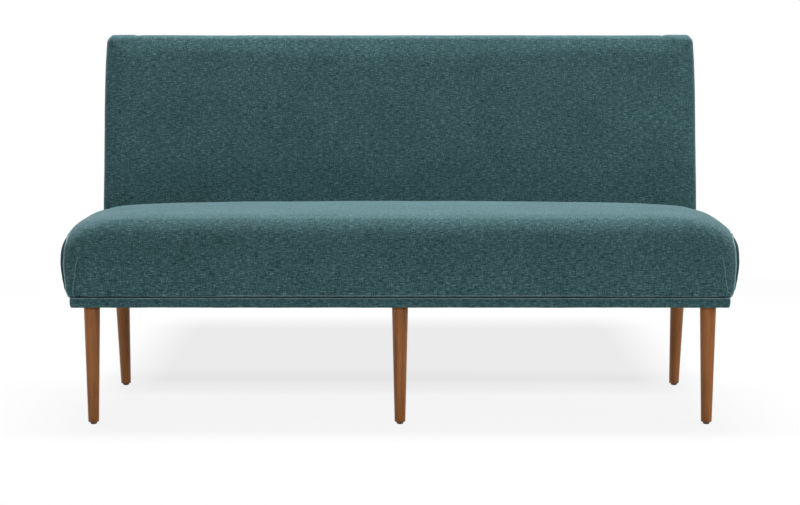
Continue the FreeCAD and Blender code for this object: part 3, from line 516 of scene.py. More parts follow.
# %% Cloth filling
def near_line(points, line, reach):
    """How close each point is to a line of points: 1 on it, 0 beyond the reach."""
    closeness = np.zeros(len(points))
    low, high = line.min(axis=0) - reach, line.max(axis=0) + reach
    chosen = np.where(((points > low) & (points < high)).all(axis=1))[0]
    starts, spans = line[:-1], np.diff(line, axis=0)
    lengths = np.maximum((spans ** 2).sum(axis=1), 1e-12)
    for part in np.array_split(chosen, max(1, len(chosen) // 2000)):
        if len(part) == 0:
            continue
        offset = points[part][:, None, :] - starts[None]
        t = np.clip((offset * spans[None]).sum(axis=2) / lengths, 0, 1)
        gap = np.linalg.norm(offset - t[..., None] * spans[None], axis=2).min(axis=1)
        closeness[part] = np.clip(1 - gap / reach, 0, 1)
    return closeness


def fill_with_air(piece, pinned, pressure, cap, frames=20):
    """Swells a closed piece against its pins and returns how far it moved at most."""
    group = piece.vertex_groups.new(name="sewn")
    for weight in np.unique(np.round(pinned, 2)):
        if weight > 0:
            group.add(np.where(np.round(pinned, 2) == weight)[0].tolist(), float(weight), "REPLACE")
    start = places(piece.data)
    cloth = piece.modifiers.new("filling", "CLOTH")
    settings = {"quality": 5, "mass": 0.3, "tension_stiffness": 18, "compression_stiffness": 18,
                "shear_stiffness": 8, "bending_stiffness": 0.6, "use_pressure": True,
                "uniform_pressure_force": pressure, "vertex_group_mass": "sewn"}
    for key, value in settings.items():
        setattr(cloth.settings, key, value)
    cloth.settings.effector_weights.gravity = 0
    cloth.point_cache.frame_start, cloth.point_cache.frame_end = 1, frames
    scene = bpy.context.scene
    for number in range(1, frames + 1):
        scene.frame_set(number)
    seen = piece.evaluated_get(bpy.context.evaluated_depsgraph_get())
    moved = places(seen.data) - start
    piece.modifiers.clear()
    piece.vertex_groups.clear()
    scene.frame_set(1)
    far = np.linalg.norm(moved, axis=1, keepdims=True)
    moved *= np.where(far > cap, cap / np.maximum(far, 1e-9), 1.0)
    set_places(piece.data, start + moved)
    return float(far.max())


def subdivide(piece):
    smoother = piece.modifiers.new("finer", "SUBSURF")
    smoother.levels = smoother.render_levels = 1
    mesh = shown_mesh(piece)
    piece.modifiers.clear()
    piece.data = mesh


def press(piece, amount):
    """Moves every point of a piece along its own normal."""
    set_places(piece.data, places(piece.data) + outward(piece.data) * amount[:, None])


levels_of_points = np.repeat(np.arange(len(seat_stack)), RING)
columns_of_points = np.tile(np.arange(RING), len(seat_stack))
sewn = np.where(levels_of_points <= BASE, 1.0, 0.0)
from_front = np.minimum(columns_of_points, RING - columns_of_points)
against_back = (from_front > LONG + CORNER + END + CORNER) & (seat_points[:, 2] < 0.458)
sewn[against_back] = 1.0
sewn = np.maximum(sewn, 0.9 * np.clip(1 - (levels_of_points - BASE) / 4.0, 0, 1))
for line in seat_lines.values():
    sewn = np.maximum(sewn, np.clip(near_line(seat_points, line, 0.016) * 1.6, 0, 1))
reached = fill_with_air(seat, sewn, 4.0, 0.004)
print("seat filling reached, before the cap (mm):", round(reached * 1000, 1))

# %% [markdown]
# ## Finishing the seat's surface
# After one subdivision the mesh is fine enough for what the needle leaves behind: a shallow valley along
# each seam and dart, small puckers across the darts, and a pad that is never quite even under the hand.

# %% Seat surface
grid_faces = np.arange(len(seat.data.polygons))
face_level, face_column = grid_faces // RING - BASE, grid_faces % RING
face_from_front = np.minimum(face_column, RING - 1 - face_column) + 0.5
front_limit = np.interp(face_level + 0.5, front_path[:, 1], front_path[:, 0])
rear_limit = np.interp(face_level + 0.5, rear_path[:, 1], rear_path[:, 0])
is_panel = (face_from_front > front_limit) & (face_from_front < rear_limit)
is_panel &= (face_level >= 0) & (face_level + 0.5 < level_of(PANEL_TOP))
# the end panels take the darker cloth, a painted shade
seat.data.polygons.foreach_set("material_index", is_panel.astype(int).tolist())
close_up(seat)
subdivide(seat)


def soft_noise(points, size, seed):
    """Gentle lumps about as wide as the given size, between -1 and 1."""
    chooser = np.random.default_rng(seed)
    total = np.zeros(len(points))
    for _ in range(9):
        direction = chooser.normal(size=3)
        direction /= np.linalg.norm(direction)
        turns = 2 * math.pi / (size * chooser.uniform(0.7, 1.5))
        total += np.sin(points @ direction * turns + chooser.uniform(0, 6.28))
    return total / 4.5


def beside(line, side, distance):
    """A seam's line moved towards the middle of the end panel that it edges."""
    inward = np.array([side * 0.757, -0.08, 0.36]) - line
    return line + inward / np.linalg.norm(inward, axis=1, keepdims=True) * distance


at = places(seat.data)
change = 0.0005 * soft_noise(at, 0.16, 5) + 0.00025 * soft_noise(at, 0.05, 6)
for name, line in seat_lines.items():
    if "dart" in name:
        change -= 0.0020 * ease(near_line(at, line, 0.010))
    else:
        valley = beside(line, 1 if "right" in name else -1, 0.0042)
        change -= 0.0045 * ease(near_line(at, valley, 0.0075))
    puckers = np.sin(at[:, 2] * 2 * math.pi / 0.019) * near_line(at, line, 0.05)
    change += (0.0004 if "dart" in name else 0.0002) * puckers
change[(at[:, 2] < SEAT_LOW + 0.002) | (at[:, 1] > back_face_y(at[:, 2]) - 0.004)] = 0
press(seat, change)
kept = places(seat.data)
kept[:, 1] = np.minimum(kept[:, 1], back_face_y(kept[:, 2]) - 0.0005)
set_places(seat.data, kept)
print("seat triangles:", sum(len(p.vertices) - 2 for p in seat.data.polygons))

# %% [markdown]
# ## Welts
# A seam shows as a fine raised line where the two layers of cloth are turned in. Geometry Nodes draw it: a
# curve along the seam is given a round section of a chosen radius. The same tree serves every seam.

# %% Welt tree
def geometry_tree(name, inputs):
    tree = bpy.data.node_groups.new(name, "GeometryNodeTree")
    tree.interface.new_socket("Geometry", in_out="INPUT", socket_type="NodeSocketGeometry")
    for label, kind, default in inputs:
        tree.interface.new_socket(label, in_out="INPUT", socket_type=kind).default_value = default
    tree.interface.new_socket("Material", in_out="INPUT", socket_type="NodeSocketMaterial")
    tree.interface.new_socket("Geometry", in_out="OUTPUT", socket_type="NodeSocketGeometry")
    return tree, tree.nodes.new("NodeGroupInput"), tree.nodes.new("NodeGroupOutput")


def finish_tree(tree, shape, given, result):
    real = put(tree, "GeometryNodeRealizeInstances", {0: shape})
    dressed = put(tree, "GeometryNodeSetMaterial", {
        "Geometry": real.outputs[0], "Material": given.outputs["Material"]})
    tree.links.new(dressed.outputs[0], result.inputs[0])


welt_tree, given, result = geometry_tree("welt", [("Radius", FLOAT, 0.001), ("Step", FLOAT, 0.004)])
smoothed = put(welt_tree, "GeometryNodeResampleCurve", {
    "Curve": given.outputs["Geometry"], "Length": given.outputs["Step"]}, mode="LENGTH")
section = put(welt_tree, "GeometryNodeCurvePrimitiveCircle", {
    "Resolution": 8, "Radius": given.outputs["Radius"]})
tube = put(welt_tree, "GeometryNodeCurveToMesh", {
    "Curve": smoothed.outputs[0], "Profile Curve": section.outputs[0], "Fill Caps": True})
rounded = put(welt_tree, "GeometryNodeSetShadeSmooth", {"Geometry": tube.outputs[0]})
finish_tree(welt_tree, rounded.outputs[0], given, result)


def grown(name, line, tree, values, closed=False):
    """Draws a line as a curve, runs a Geometry Nodes tree on it and keeps the result as a plain mesh."""
    curve = bpy.data.curves.new(name + "_line", "CURVE")
    curve.dimensions = "3D"
    spline = curve.splines.new("POLY")
    spline.points.add(len(line) - 1)
    spline.points.foreach_set("co", np.column_stack([line, np.ones(len(line))]).ravel())
    spline.use_cyclic_u = closed
    source = link_new(name + "_line", curve)
    modifier = source.modifiers.new("grown", "NODES")
    modifier.node_group = tree
    for item in tree.interface.items_tree:
        if item.in_out == "INPUT" and item.name in values:
            modifier[item.identifier] = values[item.name]
    mesh = shown_mesh(source)
    bpy.data.objects.remove(source)
    mesh.name = name
    print(name, "faces:", len(mesh.polygons))
    return link_new(name, mesh)


def on_surface(piece, line, lift):
    """The line laid on a piece's surface and lifted off it a little."""
    mesh = piece.data
    tree = BVHTree.FromPolygons([v.co[:] for v in mesh.vertices], [p.vertices[:] for p in mesh.polygons])
    laid = []
    for point in line:
        spot, normal, _, _ = tree.find_nearest(Vector(point))
        laid.append(list(spot + normal * lift))
    return np.array(laid)


def welt(name, piece, line, radius, lift, finish, closed=False):
    laid = on_surface(piece, line, lift) if piece else line
    return grown(name, laid, welt_tree, {"Radius": radius, "Step": 0.004, "Material": finish}, closed)


seat_welts = []
for word, side in (("right", 1), ("left", -1)):
    seam, dart = seat_lines[word + "_panel"], seat_lines[word + "_dart"]
    # the welt's pale cloth is a painted highlight
    seat_welts.append(welt(word + "_end_seam_welt", seat, seam, 0.0017, 0.0008, welt_painted_highlight_cloth))
    # painted shade: a dark tube beside each end seam stands for the shadow deep in the seam
    inner = beside(seam, side, 0.0044)
    seat_welts.append(welt(word + "_end_painted_seam_shade", seat, inner, 0.0029, 0.0004, painted_seam_shade))
    # the dart ridge's pale cloth is a painted highlight
    seat_welts.append(welt(word + "_corner_dart_ridge", seat, dart[:32], 0.0011, 0.0003, hem_painted_highlight_cloth))
# the hem's line runs round the front and the ends as far as the rear corners
hem_reach = LONG + CORNER + END + CORNER - 4
hem_line = seat_rings[0][np.r_[-hem_reach:hem_reach + 1]]
# the hem roll's pale cloth is a painted highlight
seat_hem = welt("seat_hem_roll", seat, hem_line + np.array([0, 0, 0.0050]), 0.0010, 0.0004, hem_painted_highlight_cloth)
# painted shade: a dark tube just above the band stands for the shadowed gap under the seat's hem
hem_shade_line = hem_line * np.array([0.9985, 0.9965, 1.0]) + np.array([0, 0, 0.0014])
hem_painted_shade = welt("seat_hem_painted_shade", None, hem_shade_line, 0.0026, 0, painted_seam_shade)

# %% [markdown]
# ## Stitches
# A row of stitches is one short round thread, set again and again along a seam. Geometry Nodes place them:
# the seam's curve is divided at the stitch pitch, and a thread is turned along the curve at every point,
# each a little longer or shorter than the next, as a machine leaves them.

# %% Stitch tree
stitch_tree, given, result = geometry_tree("stitch_row", [
    ("Pitch", FLOAT, 0.005), ("Length", FLOAT, 0.0032), ("Thickness", FLOAT, 0.0004),
    ("Seed", "NodeSocketInt", 4)])
spaced = put(stitch_tree, "GeometryNodeResampleCurve", {
    "Curve": given.outputs["Geometry"], "Length": given.outputs["Pitch"]}, mode="LENGTH")
thread = put(stitch_tree, "GeometryNodeMeshCylinder", {
    "Vertices": 6, "Radius": given.outputs["Thickness"], "Depth": given.outputs["Length"]})
turned = put(stitch_tree, "FunctionNodeAlignRotationToVector", {
    "Vector": put(stitch_tree, "GeometryNodeInputTangent").outputs[0]}, axis="Z")
uneven = put(stitch_tree, "FunctionNodeRandomValue", {
    2: 0.85, 3: 1.12, "Seed": given.outputs["Seed"]}, data_type="FLOAT")
set_out = put(stitch_tree, "GeometryNodeInstanceOnPoints", {
    "Points": spaced.outputs[0], "Instance": thread.outputs[0], "Rotation": turned.outputs[0],
    "Scale": uneven.outputs[1]})
finish_tree(stitch_tree, set_out.outputs[0], given, result)
thread_finish, tree, shader = principled("sewing_thread")
twist = speckle(tree, vector(tree, "MULTIPLY", object_place(tree), (900.0, 900.0, 900.0)), 1.0, 2.0)
fill_inputs(tree, shader, {
    "Base Color": blend(tree, twist, srgb(128, 158, 160), srgb(168, 194, 196)), "Roughness": 0.7})


def stitches(name, piece, line, lift, closed=False, pitch=0.005):
    values = {"Pitch": pitch, "Length": pitch * 0.64, "Material": thread_finish}
    return grown(name, on_surface(piece, line, lift), stitch_tree, values, closed)


hem_stitches = stitches("seat_hem_stitches", seat, hem_line + np.array([0, 0, 0.0085]), 0.0002)

# %% [markdown]
# ## The back
# The back is a thin upright pad that leans nine and a half degrees. It is made flat, as rings round the
# slab from the face, over the rounded edges and on to the rear, and leaned at the end. The face swells a
# little towards its middle. The top corners carry a folded double layer of cloth, as on a made bed.

# %% Back rings
BACK_HALF, BACK_TALL, BACK_THICK = 0.7248, 0.5908, 0.088
CORNER_ROUND, REAR_CORNER, FRONT_ROUND, REAR_ROUND = 0.024, 0.009, 0.022, 0.007


def back_ring(inset, depth):
    corner = max(CORNER_ROUND + (REAR_CORNER - CORNER_ROUND) * depth / BACK_THICK - inset, 0.0)
    reach = min(inset, BACK_TALL / 2)
    flat = outline(BACK_HALF - inset, reach, BACK_TALL - reach, 0.002 if inset < 0.02 else 0.0, corner)
    return np.column_stack([flat[:, 0], np.full(len(flat), depth), flat[:, 1]])


def leaned(points):
    x, t, v = points.T
    return np.column_stack([x, BACK_FOOT_Y + t * LEAN_IN[1] + v * LEAN_UP[1],
                            BACK_FOOT_Z + t * LEAN_IN[2] + v * LEAN_UP[2]])


back_insets = []
for share in np.linspace(0, 1, 22)[:-1]:
    back_insets.append((BACK_TALL / 2 - share * (BACK_TALL / 2 - FRONT_ROUND), 0.0))
for angle in np.linspace(0, math.pi / 2, 7):
    back_insets.append((FRONT_ROUND * (1 - math.sin(angle)), FRONT_ROUND * (1 - math.cos(angle))))
for depth in np.linspace(FRONT_ROUND, BACK_THICK - REAR_ROUND, 6)[1:-1]:
    back_insets.append((0.0, depth))
for angle in np.linspace(0, math.pi / 2, 4):
    back_insets.append((REAR_ROUND * (1 - math.cos(angle)), BACK_THICK - REAR_ROUND * (1 - math.sin(angle))))
for share in np.linspace(0, 1, 18)[1:]:
    back_insets.append((REAR_ROUND + share * (BACK_TALL / 2 - REAR_ROUND), BACK_THICK))
back_rings = [back_ring(inset, depth) for inset, depth in back_insets]
back_points = np.concatenate(back_rings)
back = new_piece("back_cushion", back_points, skin(back_rings), [back_cloth, side_cloth])
close_up(back)
print("back rings:", len(back_rings))

# %% Back filling and surface
flat_back = places(back.data)
held = np.where(flat_back[:, 1] > 0.0015, 1.0, 0.0)
held = np.maximum(held, np.clip(1 - flat_back[:, 2] / 0.16, 0, 1))
reached = fill_with_air(back, held, 3.0, 0.003)
print("back filling reached, before the cap (mm):", round(reached * 1000, 1))
subdivide(back)
at = places(back.data)
normals = outward(back.data)
change = 0.0004 * soft_noise(at, 0.20, 15) + 0.0002 * soft_noise(at, 0.06, 16)
# folded double cloth at the top corners, ending in a soft step
FOLD = 0.650
across = np.abs(at[:, 0])
upper = ease((at[:, 2] - (BACK_TALL - 0.026)) / 0.012) * (np.abs(normals[:, 0]) < 0.5)
change += 0.0012 * ease((across - FOLD) / 0.009) * upper
change -= 0.0010 * np.exp(-((across - FOLD + 0.003) / 0.004) ** 2) * upper
change[at[:, 1] > BACK_THICK - 0.004] *= 0.3
# the sides stand a little fuller below and draw in towards the top corners
fuller = np.interp(at[:, 2], [0, 0.45, 0.5256, 0.5627, 0.59], [0.0013, 0.0013, -0.0002, -0.0022, -0.0030])
fuller = np.where(fuller < 0, fuller * (1 - ease((at[:, 1] - 0.045) / 0.03)), fuller)
at[:, 0] *= 1 + fuller / BACK_HALF
# at the foot the rounded edge is squared off, where it closes over the end rail
squarer = (across > BACK_HALF - FRONT_ROUND - 0.001) * (1 - ease((at[:, 2] - 0.06) / 0.03))
at[:, 0] += np.sign(at[:, 0]) * np.maximum(BACK_HALF - 0.0008 - np.abs(at[:, 0]), 0) * squarer
set_places(back.data, leaned(at + normals * change[:, None]))
close_up(back)
side_faces = np.abs(np.array([p.normal[0] for p in back.data.polygons])) > 0.8
back.data.polygons.foreach_set("material_index", side_faces.astype(int).tolist())
print("back triangles:", sum(len(p.vertices) - 2 for p in back.data.polygons))

# %% [markdown]
# ## The base band
# A strip of the same cloth, padded to a soft roll, hides the rails below the seat. Its section is a small
# bulging profile swept round the whole base, so it is again a stack of rings, this time closed on itself.

# %% Base band
BAND_LOW, BAND_TALL = 0.266, 0.0232
BAND_HALF, BAND_FRONT, BAND_REAR = 0.7275, -0.3145, 0.2445
# how far the section lies in from the outside, and its height
band_section = [
    (0.0060, 0.0012), (0.0036, 0.0000), (0.0018, 0.0014), (0.0008, 0.0050),
    (0.0001, 0.0100), (-0.0002, 0.0140), (0.0002, 0.0180), (0.0012, 0.0212),
    (0.0030, 0.0231), (0.0046, 0.0228), (0.0049, 0.0140), (0.0049, 0.0040),
]
band_rings = []
for inset, height in band_section + band_section[:1]:
    flat = outline(BAND_HALF - inset, BAND_FRONT + inset, BAND_REAR - inset, 0.009 - inset, 0.009 - inset)
    band_rings.append(ring(flat, BAND_LOW + height))
band = new_piece("base_band", np.concatenate(band_rings), skin(band_rings), [band_cloth])
close_up(band)
subdivide(band)
at = places(band.data)
press(band, 0.00035 * soft_noise(at, 0.09, 21) + 0.0002 * soft_noise(at, 0.03, 22))

# %% Seams of the outside back and the band
REAR_SEAM = 0.011
rear_line = outline(BACK_HALF - REAR_SEAM, 0.004, BACK_TALL - REAR_SEAM, 0.003, 0.014)
rear_line = leaned(np.column_stack([rear_line[:, 0], np.full(len(rear_line), BACK_THICK), rear_line[:, 1]]))
back_welt = welt("outside_back_welt", back, rear_line, 0.0014, 0.0002, band_cloth, closed=True)
stitch_line = rear_line * np.array([0.9945, 1.0, 1.0])
back_stitches = stitches("outside_back_stitches", back, stitch_line, 0.0003, closed=True, pitch=0.007)
roll_line = outline(BAND_HALF - 0.0004, BAND_FRONT + 0.0002, BAND_REAR - 0.0002, 0.0085, 0.0085)
roll_line = ring(roll_line, BAND_LOW + BAND_TALL - 0.0018)
# the roll's pale cloth is a painted highlight
band_roll = welt("band_top_roll", None, roll_line, 0.0012, 0, roll_painted_highlight_cloth, closed=True)

# %% [markdown]
# ## Legs
# The legs are turned from solid wood: a straight taper with a small chamfer at the foot. Each is a lathe
# profile of rings round its own axis, and the rear ones rake backwards. A vector stored on the points keeps
# every leg's own straight grain, so that it runs along a raked leg too and no two legs look alike.

# %% Wood grain group
grain, given, result = shader_group(
    "straight_grain",
    [("Place", VECTOR, None), ("Pale", COLOR, srgb(150, 102, 62)), ("Deep", COLOR, srgb(96, 56, 30)),
     ("Scale", FLOAT, 1.0)],
    [("Color", COLOR), ("Height", FLOAT), ("Roughness", FLOAT)],
)
grain_place = enlarged(grain, given.outputs["Place"], given.outputs["Scale"])


def grain_noise(size, detail, roughness):
    return speckle(grain, vector(grain, "MULTIPLY", grain_place, size), 1.0, detail, roughness)


growth = grain_noise((90.0, 90.0, 5.0), 4.0, 0.6)
fibres = grain_noise((900.0, 900.0, 22.0), 3.0, 0.65)
pores = grain_noise((1500.0, 1500.0, 60.0), 2.0, 0.5)
mottle = grain_noise((20.0, 20.0, 9.0), 2.0, 0.5)
depth_share = maths(grain, "ADD", between(grain, growth, 0.35, 0.68, 0, 0.6),
                    between(grain, fibres, 0.4, 0.7, 0, 0.3))
depth_share = maths(grain, "ADD", depth_share, between(grain, mottle, 0.3, 0.7, -0.12, 0.18), clamp=True)
wood_tone = blend(grain, depth_share, given.outputs["Pale"], given.outputs["Deep"])
fill_inputs(grain, result, {
    "Color": blend(grain, between(grain, pores, 0.62, 0.74, 0, 0.35), wood_tone, (0.02, 0.01, 0.006, 1)),
    "Height": maths(grain, "SUBTRACT", fibres, between(grain, pores, 0.6, 0.72, 0, 0.6)),
    "Roughness": between(grain, fibres, 0.3, 0.7, 0.36, 0.50),
})


def wood_material(name, place_of, pale, deep, scale=1.0, coat=0.0):
    material, tree, shader = principled(name)
    wood = put(tree, "ShaderNodeGroup", node_tree=grain)
    fill_inputs(tree, wood, {
        "Place": place_of(tree), "Pale": srgb(*pale), "Deep": srgb(*deep), "Scale": scale})
    fill_inputs(tree, shader, {
        "Base Color": wood.outputs["Color"], "Roughness": wood.outputs["Roughness"],
        "Normal": bump(tree, 0.4, 0.0002, wood.outputs["Height"]),
        "Specular IOR Level": 0.3, "Coat Weight": coat, "Coat Roughness": 0.28,
    })
    return material


def along_leg(tree):
    read = put(tree, "ShaderNodeAttribute", attribute_type="GEOMETRY", attribute_name="along_leg")
    return read.outputs["Vector"]


leg_wood = wood_material("leg_wood", along_leg, (160, 99, 42), (110, 59, 19), coat=0.03)

# %% Legs
LEG_TOP, GLIDE_TOP = 0.2672, 0.0050
TOP_RADIUS, FOOT_RADIUS = 0.0180, 0.0120
RAKE = math.radians(10.35)
LEG_REACH, FRONT_LEGS, REAR_LEGS = 0.684, -0.271, 0.201
CHAMFER, AXIS, AROUND = 0.0016, 0.0004, 56
PLACES = [f"{row}_{column}" for row in ("front", "rear") for column in ("left", "centre", "right")]


def leg(place, number):
    row, column = place.split("_")
    across = {"left": -LEG_REACH, "centre": 0.0, "right": LEG_REACH}[column]
    rake = 0.0 if row == "front" else RAKE
    top = np.array([across, FRONT_LEGS if row == "front" else REAR_LEGS, LEG_TOP])
    down = np.array([0.0, math.sin(rake), -math.cos(rake)])
    forward = np.array([0.0, math.cos(rake), math.sin(rake)])
    length = (LEG_TOP - GLIDE_TOP) / math.cos(rake)
    run = np.linspace(0, 1, 26)[1:-1] * length
    radius = TOP_RADIUS + (FOOT_RADIUS - TOP_RADIUS) * run / length
    stations = [(0.0, AXIS), (0.0, TOP_RADIUS * 0.5), (0.0, TOP_RADIUS - 0.0006), *zip(run, radius),
                (length - CHAMFER, FOOT_RADIUS), (length - CHAMFER * 0.3, FOOT_RADIUS - CHAMFER * 0.35),
                (length, FOOT_RADIUS - CHAMFER), (length, FOOT_RADIUS * 0.5), (length, AXIS)]
    turn = np.linspace(0, 2 * math.pi, AROUND, endpoint=False)
    rings, own = [], []
    for distance, wide in stations:
        x, q = wide * np.cos(turn), wide * np.sin(turn)
        rings.append((top + down * distance)[None] + np.outer(x, [1.0, 0, 0]) + np.outer(q, forward))
        along = np.full(AROUND, distance + 1.7 * number)
        own.append(np.column_stack([x + 0.37 * number, q + 0.21 * number, along]))
    # both ends are cut level, also on a raked leg
    points = np.concatenate(rings)
    far = np.repeat([distance for distance, _ in stations], AROUND)
    points[:, 2] = np.where(far >= length - 1e-9, GLIDE_TOP, np.maximum(points[:, 2], GLIDE_TOP))
    points[:, 2] = np.where(far <= 1e-9, LEG_TOP, np.minimum(points[:, 2], LEG_TOP))
    made = new_piece(place + "_turned_leg", points, skin(rings), [leg_wood])
    stored = made.data.attributes.new("along_leg", "FLOAT_VECTOR", "POINT")
    stored.data.foreach_set("vector", np.concatenate(own).ravel())
    work = bmesh.new()
    work.from_mesh(made.data)
    bmesh.ops.holes_fill(work, edges=[e for e in work.edges if e.is_boundary], sides=AROUND)
    bmesh.ops.recalc_face_normals(work, faces=work.faces)
    work.to_mesh(made.data)
    work.free()
    return made


legs = {place: leg(place, number) for number, place in enumerate(PLACES)}
print("legs:", len(legs), "box of one:", [round(c, 4) for c in legs["rear_left"].bound_box[0]])

# %% [markdown]
# ## Under the seat
# A thin black nonwoven cloth is stapled under the frame to catch dust. It sags a little between the rails,
# and it is creased where the staples draw it. Inside, a woven deck cloth lies over the springs, and straps
# of webbing cross the back. They are hidden on the finished bench, and each is still made as what it is.

# %% Thin cloth materials
def thin_cloth(name, ground, shade, fleck, pitch, rough):
    material, tree, shader = principled(name)
    yarn = woven(tree, object_place(tree), (ground, shade, fleck), pitch)
    fill_inputs(tree, shader, {
        "Base Color": yarn["Color"], "Normal": bump(tree, 0.5, 0.0004, yarn["Height"]), "Roughness": rough})
    return material


dust_cloth = thin_cloth("dust_cloth", (28, 28, 29), (14, 14, 15), (58, 58, 60), 0.0022, 0.85)
deck_cotton = thin_cloth("deck_cotton", (198, 190, 172), (160, 150, 128), (226, 220, 206), 0.0012, 0.9)
web_jute = thin_cloth("webbing_jute", (150, 124, 88), (104, 82, 54), (186, 164, 128), 0.0018, 0.9)
liner_card = thin_cloth("liner_card", (150, 128, 98), (120, 98, 72), (172, 152, 122), 0.003, 0.8)


def cloth_grid(name, x_low, x_high, y_low, y_high, height, material, spacing=0.012):
    """A flat sheet of cloth as a grid of small squares, with its height given as a function."""
    xs = np.linspace(x_low, x_high, max(2, int((x_high - x_low) / spacing)))
    ys = np.linspace(y_low, y_high, max(2, int((y_high - y_low) / spacing)))
    x, y = np.meshgrid(xs, ys, indexing="ij")
    points = np.stack([x.ravel(), y.ravel(), height(x, y).ravel()], axis=1)
    count = len(ys)
    faces = [(i * count + j, (i + 1) * count + j, (i + 1) * count + j + 1, i * count + j + 1)
             for i in range(len(xs) - 1) for j in range(count - 1)]
    return new_piece(name, points, faces, [material])


# %% Dust cover and deck cloth
dust_low, dust_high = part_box("dust_cover")
deck_low, deck_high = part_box("seat_deck_cloth")


def dust_height(x, y):
    u = 1 - np.abs(x / dust_high[0]) ** 6
    v = 1 - np.abs((y - (dust_low[1] + dust_high[1]) / 2) / ((dust_high[1] - dust_low[1]) / 2)) ** 4
    cross = 1 - 0.85 * np.exp(-(x / 0.045) ** 2)
    front_ripple = np.sin(x * 95) * np.exp(-((y - dust_low[1]) / 0.06) ** 2)
    rear_ripple = np.sin(x * 88 + 1) * np.exp(-((y - dust_high[1]) / 0.06) ** 2)
    return dust_low[2] + 0.0002 - 0.0065 * u * v * cross + 0.0005 * (front_ripple + rear_ripple) * u


def deck_height(x, y):
    v = (y - deck_low[1]) / (deck_high[1] - deck_low[1])
    return deck_low[2] + 0.0008 + (deck_high[2] - deck_low[2] - 0.0016) * np.sin(np.pi * v) ** 0.9


dust_sheet = cloth_grid("dust_sheet", dust_low[0] + 0.004, dust_high[0] - 0.004, dust_low[1] + 0.004,
                        dust_high[1] - 0.004, dust_height, dust_cloth)
deck_sheet = cloth_grid("deck_sheet", deck_low[0], deck_high[0], deck_low[1], deck_high[1], deck_height,
                        deck_cotton, 0.02)
print("dust sheet faces:", len(dust_sheet.data.polygons))

# %% Back straps
STRAP_HALF, STRAP_THICK = 0.030, 0.0014
STRAP_FRONT, STRAP_FOOT, STRAP_TOP = 0.0485, 0.118, 0.5616
strap_middles = [side * (0.0135 + 0.6815 * (i + 0.5) / 5) for side in (-1, 1) for i in range(5)]
strap_rings, strap_faces = [], []
wide = np.linspace(-1, 1, 9)
edge = np.concatenate([np.column_stack([wide, np.zeros(9)]), np.column_stack([wide[::-1], np.ones(9)])])
STATIONS, count = 50, len(edge)
for number, middle in enumerate(strap_middles):
    stations = []
    for v in np.linspace(STRAP_FOOT, STRAP_TOP, STATIONS):
        sway = 0.0004 * math.sin(v * 60 + number)
        x, depth = middle + sway + edge[:, 0] * STRAP_HALF, STRAP_FRONT + edge[:, 1] * STRAP_THICK
        stations.append(leaned(np.column_stack([x, depth, np.full(count, v)])))
    start = len(strap_rings) * count
    last = start + (STATIONS - 1) * count
    strap_rings += stations
    strap_faces += [tuple(start + k for k in face) for face in skin(stations)]
    strap_faces += [tuple(range(start, start + count)), tuple(range(last, last + count))]
straps = close_up(new_piece("back_straps", np.concatenate(strap_rings), strap_faces, [web_jute], False))

# %% [markdown]
# ## Materials of the frame
# The nodes whose construction shape is already right stay as they are and only get a finish: sawn pale
# timber, bright zinc, dark spring wire and black plastic glides.

# %% Frame materials
def metal_material(name, tone, rough):
    material, tree, shader = principled(name)
    tarnish = speckle(tree, object_place(tree), 220.0, 4.0, 0.6)
    worn = srgb(*[level * 0.7 for level in tone])
    fill_inputs(tree, shader, {
        "Metallic": 1.0,
        "Base Color": blend(tree, between(tree, tarnish, 0.35, 0.7), srgb(*tone), worn),
        "Roughness": between(tree, tarnish, 0.3, 0.7, rough - 0.08, rough + 0.12),
        "Normal": bump(tree, 0.2, 0.0001, tarnish),
    })
    return material


def plastic_material(name, tone, rough):
    material, tree, shader = principled(name)
    pits = speckle(tree, object_place(tree), 900.0, 3.0, 0.6)
    rubbed = srgb(*[level * 1.4 for level in tone])
    fill_inputs(tree, shader, {
        "Base Color": blend(tree, between(tree, pits, 0.3, 0.7), srgb(*tone), rubbed),
        "Roughness": between(tree, pits, 0.3, 0.7, rough - 0.06, rough + 0.08),
        "Normal": bump(tree, 0.3, 0.0001, pits),
    })
    return material


def turned_place(*rotation):
    def place_of(tree):
        inputs = {"Vector": object_place(tree), "Rotation": rotation}
        return put(tree, "ShaderNodeMapping", inputs).outputs[0]

    return place_of


TIMBER = ((205, 172, 122), (168, 128, 80), 0.6)
long_timber = wood_material("frame_timber", turned_place(0, math.pi / 2, 0), *TIMBER)
upright_timber = wood_material("frame_upright_timber", object_place, *TIMBER)
end_timber = wood_material("frame_end_timber", turned_place(math.pi / 2, 0, 0), *TIMBER)
zinc_steel = metal_material("zinc_steel", (186, 188, 190), 0.36)
spring_steel = metal_material("spring_steel", (112, 113, 116), 0.42)
glide_plastic = plastic_material("glide_plastic", (22, 18, 16), 0.5)

FINISHES = {
    zinc_steel: ("leg_hanger_bolts", "leg_tee_nuts", "glide_nails", "block_screws", "spring_clips",
                 "webbing_staples", "dust_cover_staples"),
    spring_steel: ("seat_springs", "spring_tie_wires"),
    glide_plastic: tuple(place + "_glide" for place in PLACES),
    liner_card: ("back_liner_board",),
    web_jute: ("back_webbing",),
    upright_timber: ("left_back_post", "centre_back_post", "right_back_post"),
    end_timber: ("left_end_rail", "right_end_rail", "centre_cross_rail"),
}
finish_of = {name: finish for finish, names in FINISHES.items() for name in names}
for name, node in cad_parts.items():
    node.data.materials.clear()
    node.data.materials.append(finish_of.get(name, long_timber))

# %% [markdown]
# ## Which piece stands for which node
# Every new piece rides on the bench's single body, and hides the construction nodes that it stands for.

